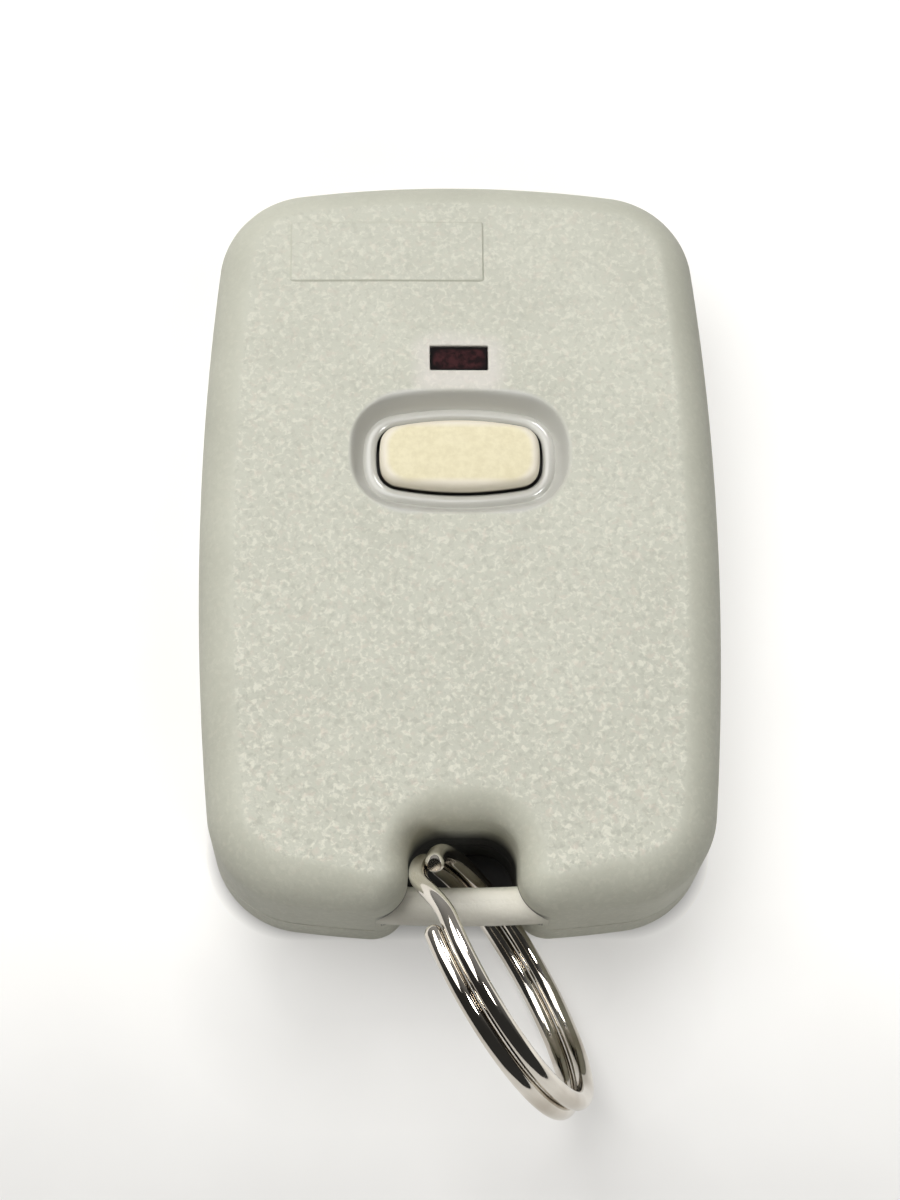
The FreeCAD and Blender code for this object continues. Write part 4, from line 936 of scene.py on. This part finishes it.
def make_materials():
    """Every material by its slot, and the front case's own."""
    case = srgb(205, 205, 189), srgb(232, 230, 214), srgb(182, 182, 166)
    made = {
        "case_plastic": case_plastic("case_plastic", *case),
        "case_front": front_plastic("case_front", *case),
        "button_plastic": button_plastic("button_plastic", srgb(238, 228, 190),
                                         srgb(229, 218, 178), srgb(242, 234, 218)),
        "dark_lens": lens_plastic("dark_lens"),
        "board_green": board_mask("board_green"),
    }
    for name, (colour, shade, roughness) in PLASTICS.items():
        made[name] = smooth_plastic(name, srgb(*colour), srgb(*shade), roughness)
    for name, (colour, shade, *values) in METALS.items():
        made[name] = metal(name, srgb(*colour), srgb(*shade), *values)
    return made


# Stage

def table_white():
    """Pale laminate that glows to the camera.

    It glows less near the camera and at the remote's lower end, more to the right, and not
    below the remote. These are painted shade, a painted shadow and painted light."""
    m = Nodes("table_white")
    soft = m.noise(60, 3.0, 0.5)
    colour = m.ramp(soft, [(0.3, srgb(177, 176, 174)), (0.75, srgb(187, 186, 184))])
    place = m.split()
    # Painted shade: the glow fades towards the camera
    near = m.spread(place[1], -46 * MM, -26 * MM, 0.62, 1.0)
    # Painted light: the glow grows to the right, lightening the shadow there
    right = m.spread(place[0], 18 * MM, 42 * MM, 1.0, 1.14)
    # Painted shadow: less glow off the remote's lower end
    lower_end_shadow = m.spread(rounded_box(m, *LOWER_END_SHADOW_MASK), -1 * MM, 7 * MM, 0.72, 1.0)
    # Painted shade: no glow and a dark colour below the remote, seen through the key ring slot
    clear = m.fade(rounded_box(m, *TABLE_MASK), -0.3, -2.5)
    m.set(base_color=m.mix(clear, srgb(50, 49, 47), colour), roughness=0.75)
    light = m.add("ShaderNodeEmission")
    light.inputs["Color"].default_value = (1, 0.985, 0.95, 1)
    m.link(m.product(clear, near, right, lower_end_shadow, TABLE_GLOW), light.inputs["Strength"])
    ray = m.add("ShaderNodeLightPath").outputs
    seen = m.maths("MAXIMUM", ray["Is Glossy Ray"], ray["Is Transmission Ray"])
    seen = m.maths("MAXIMUM", ray["Is Camera Ray"], seen)
    both = m.add("ShaderNodeAddShader")
    m.link(m.shader.outputs[0], both.inputs[0])
    m.link(light.outputs[0], both.inputs[1])
    choose = m.add("ShaderNodeMixShader")
    m.link(seen, choose.inputs[0])
    m.link(m.shader.outputs[0], choose.inputs[1])
    m.link(both.outputs[0], choose.inputs[2])
    m.link(choose.outputs[0], m.output.inputs["Surface"])
    return m.material


def table():
    """A table top: bright to the camera, plain to the light, and it keeps the shadow."""
    mesh = bpy.data.meshes.new("table_top")
    half = TABLE_HALF
    mesh.from_pydata([(-half, -half, 0), (half, -half, 0), (half, half, 0), (-half, half, 0)],
                     [], [(0, 1, 2, 3)])
    mesh.materials.append(table_white())
    top = bpy.data.objects.new("table_top", mesh)
    bpy.context.scene.collection.objects.link(top)


def world():
    """Dim room light, brighter towards the far end of the object."""
    scene = bpy.context.scene
    scene.world = bpy.data.worlds.new("room")
    scene.world.use_nodes = True
    tree = scene.world.node_tree
    back = tree.nodes["Background"]
    coords = tree.nodes.new("ShaderNodeTexCoord")
    split = tree.nodes.new("ShaderNodeSeparateXYZ")
    level = tree.nodes.new("ShaderNodeMapRange")
    tree.links.new(coords.outputs["Generated"], split.inputs[0])
    tree.links.new(split.outputs[1], level.inputs["Value"])
    values = (-0.1, 0.9, WORLD_NEAR, WORLD_FAR)
    for name, value in zip(("From Min", "From Max", "To Min", "To Max"), values):
        level.inputs[name].default_value = value
    tree.links.new(level.outputs["Result"], back.inputs["Strength"])
    back.inputs["Color"].default_value = (1, 0.995, 0.985, 1)


def panel(name, place, size, watts):
    """A square soft light that points at the origin."""
    data = bpy.data.lights.new(name, "AREA")
    data.shape = "SQUARE"
    data.size = size
    data.energy = watts
    lamp = bpy.data.objects.new(name, data)
    bpy.context.scene.collection.objects.link(lamp)
    lamp.location = place
    lamp.rotation_euler = (-Vector(place)).to_track_quat("-Z", "Y").to_euler()
    return lamp


def lights():
    """A ceiling light, a weak fill from near, and two lamps seen only as highlights."""
    panel("ceiling_panel", CEILING_PLACE, CEILING_SIZE, CEILING_WATTS)
    fill = panel("near_fill", FILL_PLACE, FILL_SIZE, FILL_WATTS)
    fill.visible_glossy = False
    for name, place in GLOSS_PLACES.items():
        gloss = panel(name, place, GLOSS_SIZE, GLOSS_WATTS)
        gloss.visible_diffuse = False


def camera():
    """The photograph's camera, from its fitted angles and the pixel that it aims at."""
    back = Vector((math.sin(AZIMUTH) * math.cos(ELEVATION),
                   -math.cos(AZIMUTH) * math.cos(ELEVATION), math.sin(ELEVATION)))
    right = Vector((math.cos(AZIMUTH), math.sin(AZIMUTH), 0))
    up = back.cross(right)
    x_axis = right * math.cos(ROLL) + up * math.sin(ROLL)
    y_axis = up * math.cos(ROLL) - right * math.sin(ROLL)
    offset_x = (AIM_PIXEL[0] - FRAME_WIDTH / 2) * DISTANCE / FOCAL_PIXELS
    offset_y = (FRAME_HEIGHT / 2 - AIM_PIXEL[1]) * DISTANCE / FOCAL_PIXELS
    place = AIM + back * DISTANCE - x_axis * offset_x - y_axis * offset_y
    data = bpy.data.cameras.new("photo_camera")
    data.sensor_fit = "AUTO"
    data.sensor_width = SENSOR
    data.lens = SENSOR * FOCAL_PIXELS / FRAME_HEIGHT
    data.clip_start, data.clip_end = 0.005, 10
    view = bpy.data.objects.new("photo_camera", data)
    bpy.context.scene.collection.objects.link(view)
    turn = Matrix((x_axis, y_axis, back)).transposed().to_4x4()
    view.matrix_world = Matrix.Translation(place * MM) @ turn
    bpy.context.scene.camera = view


camera()
table()
world()
lights()
materials = make_materials()
dress(materials)
front_shell().data.materials.append(materials["case_front"])
button_piece().data.materials.append(materials["button_plastic"])
split_ring().data.materials.append(materials["ring_nickel"])
bpy.context.scene.view_settings.view_transform = "Standard"
